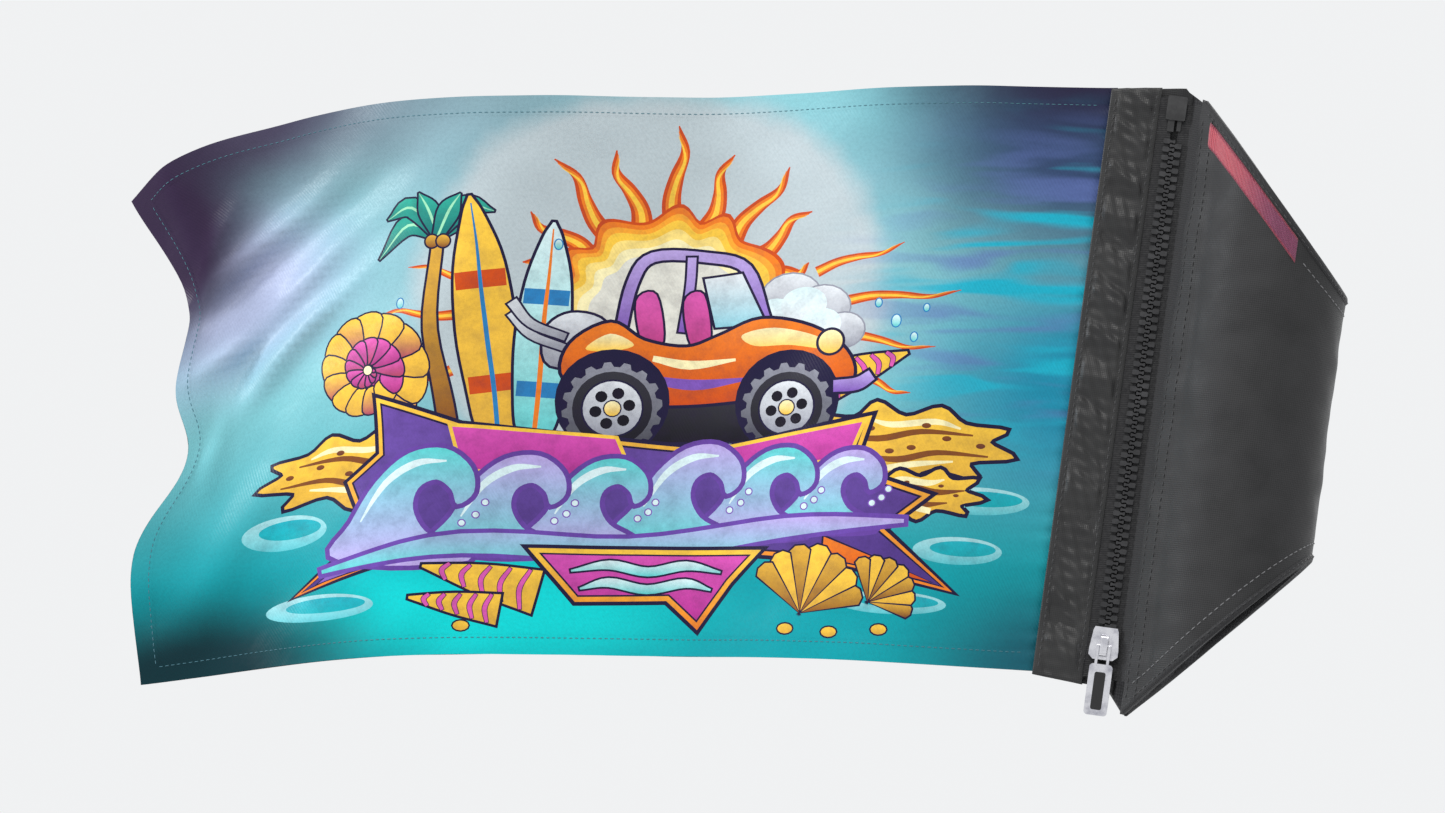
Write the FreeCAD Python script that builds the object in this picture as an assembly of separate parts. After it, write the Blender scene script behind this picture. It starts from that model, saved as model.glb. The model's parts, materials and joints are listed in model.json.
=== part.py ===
"""Roll bar flag: a printed flag on a zip-on fabric sleeve.

The sleeve closes round a leaning roll bar with a separating zipper, and the flag flies from its
header strip.

Row frame, in millimetres: the origin is on the bar's axis, half-way up the sleeve. +X points from
the flag to the bar, +Y to the far side and +Z up.

Everything but the flag's outline is drawn in the sleeve's own frame, whose Z runs along the bar,
and is then leaned about Y by LEAN_DEG. Near side means -Y, far side +Y.
"""
import FreeCAD, Part
import math
import os

V = FreeCAD.Vector

# ---- driving dimensions ----
LEAN_DEG = 8.0                 # lean of the bar and the zipper, top towards +X
BAR_RADIUS = 31.75             # 2.5 inch roll bar
LINING = 1.0                   # soft lining next to the bar
SHELL = 1.5                    # outer fabric
TANGENT_DEG = 135.0            # where both panels leave the round of the bar
BACK_HALF = 56.3               # half the sleeve's length at the back of the bar
ZIP_HALF = 134.0               # half its length at the near panel's free edge
PANEL_EDGE_X = -37.0           # the near panel's free edge
BODY_GAP = 0.3                 # clearance between soft solids on different bodies

HEADER_LEFT_X = -77.7          # hoist seam
HEADER_RIGHT_X = -56.0         # edge of the header's plies beside the zipper
HEADER_BOTTOM_Z = -121.0
HEADER_BOTTOM_DROP = 1.5       # the bottom edge falls by this much towards the zipper
HEADER_TOP_ROW_Z = 143.5       # the header's top edge is level in the row frame
HEADER_PLY = 1.2
FAR_TAIL_Y = (0.6, 2.1)        # where the far panel runs on into the header
FAR_TAIL_END_X = -75.0

CHAIN_X = -48.44               # centre line of the zipper chain
CHAIN_Y = -2.5
TAPE = 0.6
TAPE_HALF_GAP = 1.6            # tape edge to the chain's centre line
TAPE_BOTTOM_Z = HEADER_BOTTOM_Z + 2
TAPE_TOP_Z = 133.0
TOOTH_PITCH = 3.6
TOOTH_HEIGHT = 2.8
TEETH_BOTTOM_Z = -103.5
TEETH_TOP_Z = 116.0
STOP_Z = (-117.0, -112.5)
BOX_Z = (123.5, 134.0)         # retainer box
STUB_BOTTOM_Z = 118.5          # its stub on the header's tape
PIN_X = CHAIN_X + 1.7
PIN_HALF = 0.9
PIN_Z = (119.0, 131.5)
PIN_GAP = 0.35                 # room round the pin in its socket
SLOT_HALF = 0.6                # half a tape slot with room for the tape to slide

BINDING = 0.7                  # binding tape's thickness
BINDING_WIDTH = 3.2
LABEL_SIZE = (63.0, 7.0, 0.5)  # woven label: length, width, thickness
LABEL_MARGIN = 6.9             # label's centre line to the panel's slanted edge
LABEL_START = 5.5              # its end to the panel's free edge

FLAG_HINGE_X = -78.4           # hoist hinge, half-way between header and cloth
CLOTH = 1.2
HEM = 2.0
HEM_WIDTH = 9.0

# ---- derived dimensions ----
LINING_RADIUS = BAR_RADIUS + LINING
SHELL_RADIUS = LINING_RADIUS + SHELL
BINDING_RADIUS = SHELL_RADIUS + BINDING
EDGE_SLOPE = (ZIP_HALF - BACK_HALF) / (SHELL_RADIUS - PANEL_EDGE_X)
EDGE_STRETCH = math.hypot(1.0, EDGE_SLOPE)
LEAN = math.radians(LEAN_DEG)
FAR, NEAR = 1, -1

# ---- reach of the shapes that are trimmed to size afterwards ----
SIDE_REACH = 60.0              # side view prisms, to each side of the bar
PAST_FREE_EDGE = 40.0          # straight run that passes the near panel's free edge
BEYOND = 20.0                  # any other overshoot


# ---- helpers ----
def face_from(edges):
    """A face from edges that follow each other."""
    return Part.Face(Part.Wire(edges))


def polygon_face(points):
    """A flat face with straight sides."""
    return Part.Face(Part.makePolygon(list(points) + [points[0]]))


def plate_xz(points, y_low, y_high):
    """A plate whose outline is given in X and Z, from y_low to y_high."""
    face = polygon_face([V(x, y_low, z) for x, z in points])
    return face.extrude(V(0, y_high - y_low, 0))


def block(x_range, y_range, z_range):
    """A box from three (low, high) ranges."""
    size = [high - low for low, high in (x_range, y_range, z_range)]
    return Part.makeBox(*size, V(x_range[0], y_range[0], z_range[0]))


def edge_half(x, inset=0.0):
    """Half the sleeve's length at x, moved in from its slanted edge by inset."""
    return BACK_HALF + EDGE_SLOPE * (SHELL_RADIUS - x) - inset * EDGE_STRETCH


def header_top(x):
    """Height of the header's top edge at x, level once it is leaned."""
    return (HEADER_TOP_ROW_Z + x * math.sin(LEAN)) / math.cos(LEAN)


def mirrored(side, points):
    """Section points drawn for the far side, moved to the side asked for."""
    return [V(x, side * y, 0) for x, y in points]


def wrap_section(side, r_in, r_out, run, tail=()):
    """Section of one panel: round the bar from its back, then straight off along the tangent.

    run is the straight's length. tail continues the outer face, then comes back along the
    inner one, and replaces the plain cut end.
    """
    turn = math.radians(TANGENT_DEG)
    away = (-math.sin(turn), math.cos(turn))

    def on_round(radius, angle):
        return radius * math.cos(angle), radius * math.sin(angle)

    def start(radius):
        y = BODY_GAP / 2
        return math.sqrt(radius ** 2 - y ** 2), y

    outer, inner = on_round(r_out, turn), on_round(r_in, turn)
    end = list(tail) or [(x + run * away[0], y + run * away[1]) for x, y in (outer, inner)]
    path = mirrored(side, [outer] + end + [inner])
    outer_arc = Part.Arc(*mirrored(side, [start(r_out), on_round(r_out, turn / 2), outer]))
    inner_arc = Part.Arc(*mirrored(side, [inner, on_round(r_in, turn / 2), start(r_in)]))
    closing = Part.LineSegment(*mirrored(side, [start(r_in), start(r_out)]))
    straight = [Part.LineSegment(a, b) for a, b in zip(path, path[1:])]
    return face_from([part.toShape() for part in [outer_arc, *straight, inner_arc, closing]])


def along_bar(section, half=ZIP_HALF + BEYOND):
    """A section drawn at z = 0, carried along the bar both ways."""
    section.translate(V(0, 0, -half))
    return section.extrude(V(0, 0, 2 * half))


def sleeve_outline(inset, x_left=PANEL_EDGE_X):
    """The four-sided side view of the sleeve, as a prism through both panels."""
    x_right = SHELL_RADIUS + 5
    corners = [
        (x_right, -edge_half(x_right, inset)),
        (x_right, edge_half(x_right, inset)),
        (x_left, edge_half(x_left, inset)),
        (x_left, -edge_half(x_left, inset)),
    ]
    return plate_xz(corners, -SIDE_REACH, SIDE_REACH)


def header_outline(x_left, x_right):
    """Side view of the header, as a prism: level top, bottom square to the zipper."""
    corners = [
        (x_left, HEADER_BOTTOM_Z),
        (x_right, HEADER_BOTTOM_Z - HEADER_BOTTOM_DROP),
        (x_right, header_top(x_right)),
        (x_left, header_top(x_left)),
    ]
    return plate_xz(corners, -SIDE_REACH, SIDE_REACH)


# ---- sleeve: panels, linings and bindings ----
FAR_BINDING_RUN = 18.0         # straight run of the far bindings, up to the header
LINING_RUN = {FAR: 24.0, NEAR: 3.0}


def far_panel():
    """Far panel: round the back of the bar and on into the header."""
    corner_out = -SHELL_RADIUS * math.sqrt(2) + FAR_TAIL_Y[1]
    corner_in = -LINING_RADIUS * math.sqrt(2) + FAR_TAIL_Y[0]
    tail = [
        (corner_out, FAR_TAIL_Y[1]),
        (FAR_TAIL_END_X, FAR_TAIL_Y[1]),
        (FAR_TAIL_END_X, FAR_TAIL_Y[0]),
        (corner_in, FAR_TAIL_Y[0]),
    ]
    body = along_bar(wrap_section(FAR, LINING_RADIUS, SHELL_RADIUS, 0, tail))
    on_bar = body.common(sleeve_outline(BINDING))
    in_header = body.common(header_outline(FAR_TAIL_END_X - 1, PANEL_EDGE_X))
    return on_bar.fuse(in_header).removeSplitter()


def near_panel():
    """Near panel: the flap that opens, up to its free edge beside the zipper."""
    body = along_bar(wrap_section(NEAR, LINING_RADIUS, SHELL_RADIUS, PAST_FREE_EDGE))
    return body.common(sleeve_outline(BINDING))


def lining(side):
    """Soft lining glued inside one panel."""
    body = along_bar(wrap_section(side, BAR_RADIUS, LINING_RADIUS, LINING_RUN[side]))
    return body.common(sleeve_outline(BINDING, x_left=PANEL_EDGE_X - BEYOND))


def binding(side, upper):
    """Narrow tape bound over one slanted edge of a panel."""
    run = PAST_FREE_EDGE if side == NEAR else FAR_BINDING_RUN
    over_edge = along_bar(wrap_section(side, BAR_RADIUS, BINDING_RADIUS, run))
    over_edge = over_edge.common(sleeve_outline(0)).cut(sleeve_outline(BINDING))
    outside = along_bar(wrap_section(side, SHELL_RADIUS, BINDING_RADIUS, run))
    inner_part = sleeve_outline(BINDING_WIDTH, x_left=PANEL_EDGE_X - PAST_FREE_EDGE)
    outside = outside.common(sleeve_outline(0)).cut(inner_part)
    both = over_edge.fuse(outside)
    half = block((-80, 60), (-60, 60), (0, 200))
    if not upper:
        half.rotate(V(0, 0, 0), V(1, 0, 0), 180)
    return both.common(half).removeSplitter()


def label_strip():
    """Woven label on the near panel, along its upper slanted edge."""
    length, width, thickness = LABEL_SIZE
    section = wrap_section(NEAR, SHELL_RADIUS, SHELL_RADIUS + thickness, PAST_FREE_EDGE)
    x_low = PANEL_EDGE_X + LABEL_START
    x_high = x_low + length / EDGE_STRETCH

    def on_line(x, offset):
        return x, edge_half(x, LABEL_MARGIN + offset)

    half = width / 2
    corners = [(x_low, half), (x_high, half), (x_high, -half), (x_low, -half)]
    outline = [on_line(x, offset) for x, offset in corners]
    return along_bar(section).common(plate_xz(outline, -SIDE_REACH, 0))


# ---- header strip ----
def header_ply(y_low, thickness, x_left=HEADER_LEFT_X, x_right=HEADER_RIGHT_X):
    """One layer of the header strip."""
    outline = header_outline(x_left, x_right)
    return outline.common(block((x_left, x_right), (y_low, y_low + thickness), (-150, 160)))


# ---- zipper ----
def header_tape():
    """Zipper tape sewn under the header's front ply."""
    y_range = (CHAIN_Y - TAPE / 2, CHAIN_Y + TAPE / 2)
    x_range = (FAR_TAIL_END_X, CHAIN_X - TAPE_HALF_GAP)
    return block(x_range, y_range, (TAPE_BOTTOM_Z, TAPE_TOP_Z))


TAPE_BEND_X = -42.0            # the flap's tape turns up to the panel here
TAPE_END_X = -30.5


def panel_inner_y(x, inset):
    """Y on the near panel's straight part, inset from its inner face."""
    return -(x + (LINING_RADIUS - inset) * math.sqrt(2))


def bent_strip(points, thickness):
    """A thin strip through section points, along the bar."""
    upper, lower = [], []
    for index, point in enumerate(points):
        before = points[max(index - 1, 0)]
        after = points[min(index + 1, len(points) - 1)]
        angle = math.atan2(after[1] - before[1], after[0] - before[0])
        step = (-math.sin(angle) * thickness / 2, math.cos(angle) * thickness / 2)
        upper.append(V(point[0] + step[0], point[1] + step[1], 0))
        lower.append(V(point[0] - step[0], point[1] - step[1], 0))
    return along_bar(polygon_face(upper + lower[::-1]))


def flap_tape():
    """Zipper tape of the flap: flat beside the teeth, then up behind the panel's edge."""
    route = [
        (CHAIN_X + TAPE_HALF_GAP, CHAIN_Y),
        (TAPE_BEND_X, CHAIN_Y),
        (PANEL_EDGE_X, panel_inner_y(PANEL_EDGE_X, TAPE)),
        (TAPE_END_X, panel_inner_y(TAPE_END_X, TAPE)),
    ]
    x_left, x_right = CHAIN_X - BEYOND, TAPE_END_X + 1
    margin = 3 * BINDING
    outline = [
        (x_left, TAPE_BOTTOM_Z),
        (x_right, TAPE_BOTTOM_Z),
        (x_right, edge_half(x_right, margin)),
        (PANEL_EDGE_X, edge_half(PANEL_EDGE_X, margin)),
        (x_left, edge_half(PANEL_EDGE_X, margin)),
    ]
    return bent_strip(route, TAPE).common(plate_xz(outline, -SIDE_REACH, SIDE_REACH))


FACING = 0.8
FACING_X = (PANEL_EDGE_X + 0.6, -29.0)
FACING_MARGIN = 6.0            # facing's ends to the slanted edges


def flap_facing():
    """Facing strip that holds the tape against the inside of the near panel."""
    inset = 1.5 * TAPE + 0.75 * FACING
    route = [(x, panel_inner_y(x, inset)) for x in FACING_X]
    z_half = edge_half(FACING_X[1] - 1, FACING_MARGIN)
    side = (-SIDE_REACH, SIDE_REACH)
    return bent_strip(route, FACING).common(block(side, side, (-z_half, z_half)))


# Half of a tooth's outline: clamp round the tape, neck, round-cornered head.
TOOTH_OUTLINE = [
    (-4.0, 0.8), (-3.6, 1.1), (-1.4, 1.1), (-1.0, 0.5),
    (0.2, 0.5), (0.4, 0.75), (0.9, 0.75), (1.1, 0.5),
]


def tape_slot(x_low, x_high, half=TAPE / 2):
    """Cutter for the slot that a tape leaves in a moulded part."""
    return block((x_low, x_high), (CHAIN_Y - half, CHAIN_Y + half), (-ZIP_HALF, TAPE_TOP_Z))


def tooth():
    """One tooth of the header's row, with the chain's centre line at x = 0 and z = 0."""
    outline = TOOTH_OUTLINE + [(x, -z) for x, z in reversed(TOOTH_OUTLINE)]
    body = plate_xz(outline, CHAIN_Y - TOOTH_HEIGHT / 2, CHAIN_Y + TOOTH_HEIGHT / 2)
    return body.cut(tape_slot(-BEYOND, -TAPE_HALF_GAP))


def teeth_row(side):
    """All teeth of one row. The flap's row is turned round and moved by half a pitch."""
    prototype = tooth()
    first = TEETH_BOTTOM_Z + TOOTH_PITCH / 2
    if side == NEAR:
        prototype.rotate(V(0, CHAIN_Y, 0), V(0, 1, 0), 180)
        first += TOOTH_PITCH / 2
    count = int((TEETH_TOP_Z - first) / TOOTH_PITCH) + 1
    row = []
    for index in range(count):
        one = prototype.copy()
        one.translate(V(CHAIN_X, 0, first + index * TOOTH_PITCH))
        row.append(one)
    return Part.makeCompound(row)


def end_stop(direction):
    """Small crimped stop on one tape, below the last tooth. direction is -1 on the header's tape."""
    x_range = sorted(CHAIN_X + direction * offset for offset in (0.7, 3.6))
    y_range = (CHAIN_Y - TOOTH_HEIGHT / 2, CHAIN_Y + TOOTH_HEIGHT / 2)
    stop = rounded_in_front(block(x_range, y_range, STOP_Z), 0.5)
    tape_side = sorted(CHAIN_X + direction * offset for offset in (TAPE_HALF_GAP, BEYOND))
    return stop.cut(tape_slot(*tape_side))


def is_along(edge, direction):
    """Whether a straight edge runs along a direction."""
    if edge.Curve.TypeId != "Part::GeomLine":
        return False
    return abs(edge.tangentAt(edge.FirstParameter).dot(direction)) > 0.999


def rounded_in_front(shape, radius):
    """A plate with the corners of its front view rounded."""
    return shape.makeFillet(radius, [edge for edge in shape.Edges if is_along(edge, V(0, 1, 0))])


def zip_box():
    """Retainer box at the top of the header's tape, with its own stub and the pin's socket."""
    box = block((CHAIN_X - 4.4, CHAIN_X + 4.0), (CHAIN_Y - 2.0, CHAIN_Y + 2.0), BOX_Z)
    stub_y = (CHAIN_Y - 1.2, CHAIN_Y + 1.2)
    stub = block((CHAIN_X - 3.2, CHAIN_X - 0.4), stub_y, (STUB_BOTTOM_Z, BOX_Z[0]))
    reach = PIN_HALF + PIN_GAP
    socket_y = (CHAIN_Y - reach, CHAIN_Y + reach)
    socket = block((PIN_X - reach, PIN_X + reach), socket_y, (0, PIN_Z[1] + 2 * PIN_GAP))
    slot_y = (CHAIN_Y - SLOT_HALF, CHAIN_Y + SLOT_HALF)
    flap_slot = block((CHAIN_X + 1.2, CHAIN_X + BEYOND), slot_y, (0, 2 * BOX_Z[1]))
    header_slot = tape_slot(CHAIN_X - BEYOND, CHAIN_X - TAPE_HALF_GAP)
    whole = rounded_in_front(box, 0.8).fuse(stub)
    return whole.cut(socket).cut(flap_slot).cut(header_slot).removeSplitter()


def zip_pin():
    """Insertion pin on the flap's tape, seated in the box."""
    x_range = (PIN_X - PIN_HALF, PIN_X + PIN_HALF)
    pin = block(x_range, (CHAIN_Y - PIN_HALF, CHAIN_Y + PIN_HALF), PIN_Z)
    return pin.cut(flap_tape())


# ---- slider and pull ----
SLIDER_Z = (-111.0, -97.0)
SLIDER_PLATE = 1.2
SHOULDER_HALF = 6.3            # where the rows part
WAIST_HALF = 5.4
CHANNEL_HALF = 1.6             # half the gap between the plates
CHANNEL_WIDE, CHANNEL_NARROW = 5.2, 4.3
PULL_AXIS_Y = -6.5
PULL_AXIS_Z = -105.0


def both_sides(half):
    """A front view outline, symmetric about the chain, from its right half listed top down."""
    right = [(CHAIN_X + x, z) for x, z in half]
    left = [(CHAIN_X - x, z) for x, z in reversed(half) if x]
    return right + left


def slider_outline():
    """Shield shape of the slider from the front."""
    low, high = SLIDER_Z
    return both_sides([
        (WAIST_HALF - 0.6, high),
        (WAIST_HALF, high - 1.5),
        (SHOULDER_HALF, low + 4.5),
        (SHOULDER_HALF, low + 1.8),
        (SHOULDER_HALF - 2.0, low),
    ])


def slider_body():
    """Slider casting: two plates joined by the wedge, with flanges that leave room for the tapes."""
    low, high = SLIDER_Z
    front = CHAIN_Y - CHANNEL_HALF
    back = CHAIN_Y + CHANNEL_HALF
    casting = plate_xz(slider_outline(), front - SLIDER_PLATE, back + SLIDER_PLATE)
    walls = [(CHANNEL_NARROW, high + 1), (CHANNEL_WIDE, low + 5), (CHANNEL_WIDE, low - 1)]
    channel = plate_xz(both_sides(walls), front, back)
    slots = tape_slot(CHAIN_X - BEYOND, CHAIN_X + BEYOND, SLOT_HALF)
    wedge_half = [(0, low + 5.5), (1.3, low + 3), (0.9, low)]
    wedge = plate_xz(both_sides(wedge_half), front, back)
    return casting.cut(channel).cut(slots).fuse(wedge).removeSplitter()


BRIDGE_Z = (-109.6, -100.4)
BRIDGE_RISE = 3.2
BRIDGE_THICKNESS = 1.2
WINDOW_Z = (-107.4, -102.6)    # opening in the bridge for the pull's round bar
FRONT_Y = CHAIN_Y - CHANNEL_HALF - SLIDER_PLATE


def slider_bridge():
    """Arch on the slider's front that the pull hangs from."""
    arch = block((CHAIN_X - 1.5, CHAIN_X + 1.5), (FRONT_Y - BRIDGE_RISE, FRONT_Y), BRIDGE_Z)
    crosswise = [edge for edge in arch.Edges if is_along(edge, V(1, 0, 0))]
    arch = arch.makeFillet(1.4, [edge for edge in crosswise if edge.CenterOfMass.y < FRONT_Y - 1])
    window_y = (FRONT_Y - BRIDGE_RISE + BRIDGE_THICKNESS, FRONT_Y + 1)
    return arch.cut(block((CHAIN_X - 5, CHAIN_X + 5), window_y, WINDOW_Z))


def slider_lock_spring():
    """Leaf spring of the slider's lock, flat on the casting under the bridge."""
    return block((CHAIN_X - 1.0, CHAIN_X + 1.0), (FRONT_Y - 0.3, FRONT_Y), WINDOW_Z)


PULL_HALF_WIDTH = 5.0
PULL_THICKNESS = 1.8
PULL_Z = (-135.0, -113.0)
INSERT_HALF_WIDTH = 2.4
INSERT_Z = (-132.6, -116.4)
PULL_BAR_RADIUS = 0.55
ARM_INNER, ARM_OUTER = 1.95, 3.1
ARM_THICKNESS = 1.5


def pull_plate(x_range, z_range, thickness=PULL_THICKNESS):
    """A plate of the pull, centred on its own plane. x_range is from the chain's centre line."""
    low, high = (CHAIN_X + x for x in sorted(x_range))
    return block((low, high), (PULL_AXIS_Y - thickness / 2, PULL_AXIS_Y + thickness / 2), z_range)


def pull_insert():
    """Soft black insert moulded into the pull's frame."""
    plate = pull_plate((-INSERT_HALF_WIDTH, INSERT_HALF_WIDTH), INSERT_Z)
    return rounded_in_front(plate, 1.0)


def on_pull_axis(radius, x_low, x_high):
    """A round piece on the pull's swing axis. x is from the chain's centre line."""
    base = V(CHAIN_X + x_low, PULL_AXIS_Y, PULL_AXIS_Z)
    return Part.makeCylinder(radius, x_high - x_low, base, V(1, 0, 0))


def pull_frame():
    """Pull: a round bar through the bridge, two arms beside it and a frame round the insert."""
    plate = pull_plate((-PULL_HALF_WIDTH, PULL_HALF_WIDTH), PULL_Z)
    whole = rounded_in_front(plate, 1.6).cut(pull_insert())
    whole = whole.fuse(on_pull_axis(PULL_BAR_RADIUS, -ARM_OUTER, ARM_OUTER))
    for arm_x in ((-ARM_OUTER, -ARM_INNER), (ARM_INNER, ARM_OUTER)):
        arm = pull_plate(arm_x, (PULL_Z[1] - 1, PULL_AXIS_Z), ARM_THICKNESS)
        eye = on_pull_axis(ARM_THICKNESS / 2, *arm_x)
        whole = whole.fuse(arm).fuse(eye)
    return whole.removeSplitter()


# ---- flag, outlined in the row frame ----
FLAG_TOP = [(-55, 144), (-180, 144.5), (-310, 143), (-420, 136), (-472, 119), (-494, 103)]
FLAG_FLY = [(-494, 103), (-466, 52), (-471, 14), (-466, -6), (-489, -55), (-486, -112)]
FLAG_BOTTOM = [(-486, -112), (-420, -104), (-223, -101), (-88, -108)]
# Plan view of the wave in the cloth: distance from the hoist hinge and depth.
FLAG_WAVE = [(-0.8, 0), (-72, -13), (-170, 15), (-272, -17), (-365, 13), (-440, -8)]


def spline(points):
    """A smooth edge through points."""
    curve = Part.BSplineCurve()
    curve.interpolate(points)
    return curve.toShape()


def largest(shape):
    """The biggest solid of a shape, without the crumbs that trimming leaves."""
    return max(shape.Solids, key=lambda solid: solid.Volume)


def side_prism(edges):
    """A prism through the cloth from side-view edges drawn at y = 0."""
    face = face_from(edges)
    face.translate(V(0, -SIDE_REACH, 0))
    return face.extrude(V(0, 2 * SIDE_REACH, 0))


def joined(first, second):
    """A straight edge between two (x, z) points of the side view."""
    return Part.makeLine(V(first[0], 0, first[1]), V(second[0], 0, second[1]))


def side_spline(points):
    """A smooth edge through (x, z) points of the side view."""
    return spline([V(x, 0, z) for x, z in points])


def flag_outline():
    """Side view of the whole flag, as a prism."""
    sides = [side_spline(side) for side in (FLAG_TOP, FLAG_FLY, FLAG_BOTTOM)]
    return side_prism(sides + [joined(FLAG_BOTTOM[-1], FLAG_TOP[0])])


def hem_band(points, shift):
    """The band between one side of the flag and that side moved inwards by shift."""
    moved = [(x + shift[0], z + shift[1]) for x, z in points]
    return side_prism([
        side_spline(points),
        joined(points[-1], moved[-1]),
        side_spline(moved[::-1]),
        joined(moved[0], points[0]),
    ])


def flag_slab(thickness):
    """The waving cloth as an endless slab that starts beside the header."""
    front = [V(FLAG_HINGE_X + x, y - thickness / 2, 0) for x, y in FLAG_WAVE]
    back = [V(FLAG_HINGE_X + x, y + thickness / 2, 0) for x, y in FLAG_WAVE]
    edges = [
        spline(front),
        Part.makeLine(front[-1], back[-1]),
        spline(back[::-1]),
        Part.makeLine(back[0], front[0]),
    ]
    return leaned(along_bar(face_from(edges), 220))


def flag_parts():
    """Cloth and its three hems, side by side."""
    top = hem_band(FLAG_TOP, (0, -HEM_WIDTH))
    bottom = hem_band(FLAG_BOTTOM, (0, HEM_WIDTH))
    fly = hem_band(FLAG_FLY, (HEM_WIDTH, 0))
    cloth = flag_slab(CLOTH).common(flag_outline())
    hem_slab = flag_slab(HEM)
    return {
        "flag_cloth": cloth.cut(top).cut(bottom).cut(fly),
        "flag_hem_top": hem_slab.common(top),
        "flag_hem_bottom": hem_slab.common(bottom),
        "flag_hem_fly": largest(hem_slab.common(fly).cut(top).cut(bottom)),
    }


# ---- output ----
def leaned(shape):
    """A shape of the sleeve's own frame, moved into the row frame."""
    moved = shape.copy()
    moved.rotate(V(0, 0, 0), V(0, 1, 0), LEAN_DEG)
    return moved


def sleeve_parts():
    """Everything drawn in the sleeve's own frame, by node name."""
    tape_front, tape_back = CHAIN_Y - TAPE / 2, CHAIN_Y + TAPE / 2
    core = FAR_TAIL_Y[0] - tape_back
    return {
        "far_panel": far_panel(),
        "far_lining": lining(FAR),
        "far_binding_upper": binding(FAR, True),
        "far_binding_lower": binding(FAR, False),
        "header_front_ply": header_ply(tape_front - HEADER_PLY, HEADER_PLY),
        "header_webbing": header_ply(tape_back, core, FAR_TAIL_END_X, HEADER_RIGHT_X - 1),
        "header_back_ply": header_ply(FAR_TAIL_Y[1], HEADER_PLY),
        "zip_tape_header": header_tape(),
        "zip_teeth_header": teeth_row(FAR),
        "zip_stop_header": end_stop(-1),
        "zip_box": zip_box(),
        "near_panel": near_panel(),
        "near_lining": lining(NEAR),
        "near_binding_upper": binding(NEAR, True),
        "near_binding_lower": binding(NEAR, False),
        "label_strip": label_strip(),
        "flap_facing": flap_facing(),
        "zip_tape_flap": flap_tape(),
        "zip_teeth_flap": teeth_row(NEAR),
        "zip_stop_flap": end_stop(1),
        "zip_pin": zip_pin(),
        "slider_body": slider_body(),
        "slider_bridge": slider_bridge(),
        "slider_lock_spring": slider_lock_spring(),
        "pull_frame": pull_frame(),
        "pull_insert": pull_insert(),
    }


def main():
    """Write one STEP file per node and print what the record needs."""
    os.makedirs("parts", exist_ok=True)
    nodes = {name: leaned(shape) for name, shape in sleeve_parts().items()}
    nodes.update(flag_parts())
    for name, shape in nodes.items():
        if not shape.isValid():
            print("not valid:", name)
        shape.exportStep(f"parts/{name}.step")
        box = shape.BoundBox
        print(f"{name:20} solids {len(shape.Solids):3}  volume {shape.Volume:9.1f}  "
              f"x {box.XMin:7.1f} {box.XMax:7.1f}  y {box.YMin:6.1f} {box.YMax:6.1f}  "
              f"z {box.ZMin:7.1f} {box.ZMax:7.1f}")
    wall_end_x = BAR_RADIUS * math.cos(math.radians(TANGENT_DEG))
    print("bar seat length", round(2 * edge_half(wall_end_x), 2))


main()
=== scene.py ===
"""Looks of the roll bar flag: printed satin flag, puckered header, zip-on sleeve, zipper and pull.

Lengths are millimetres until place() turns them into the row frame's metres. "across", "depth"
and "along" are the sleeve's own directions: away from the flag, to the far side, up the bar.
"""
import json
import math

import bpy
import numpy as np
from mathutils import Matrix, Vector
from mathutils.geometry import delaunay_2d_cdt


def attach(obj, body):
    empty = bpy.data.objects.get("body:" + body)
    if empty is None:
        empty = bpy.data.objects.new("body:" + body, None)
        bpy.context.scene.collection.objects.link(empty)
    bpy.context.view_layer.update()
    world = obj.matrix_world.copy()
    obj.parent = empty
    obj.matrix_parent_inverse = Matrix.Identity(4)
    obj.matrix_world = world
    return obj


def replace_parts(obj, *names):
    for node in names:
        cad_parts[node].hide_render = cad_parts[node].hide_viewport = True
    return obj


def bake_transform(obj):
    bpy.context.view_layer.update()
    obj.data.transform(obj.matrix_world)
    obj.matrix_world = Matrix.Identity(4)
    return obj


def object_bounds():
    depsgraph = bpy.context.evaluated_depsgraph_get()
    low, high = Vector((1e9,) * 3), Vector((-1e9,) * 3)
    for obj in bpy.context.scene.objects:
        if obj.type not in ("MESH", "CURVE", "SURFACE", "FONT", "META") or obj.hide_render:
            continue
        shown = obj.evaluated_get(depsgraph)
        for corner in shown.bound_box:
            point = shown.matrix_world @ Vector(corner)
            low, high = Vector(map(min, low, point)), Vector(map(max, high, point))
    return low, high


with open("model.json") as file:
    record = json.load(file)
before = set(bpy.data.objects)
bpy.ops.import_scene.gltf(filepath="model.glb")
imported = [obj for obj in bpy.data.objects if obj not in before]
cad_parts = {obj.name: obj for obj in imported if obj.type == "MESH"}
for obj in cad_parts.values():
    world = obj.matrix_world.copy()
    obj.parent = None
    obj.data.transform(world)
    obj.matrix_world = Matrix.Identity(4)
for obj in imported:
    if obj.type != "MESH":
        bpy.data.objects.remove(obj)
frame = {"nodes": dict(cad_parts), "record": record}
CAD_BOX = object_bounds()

MM = 0.001
scene = bpy.context.scene

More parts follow.
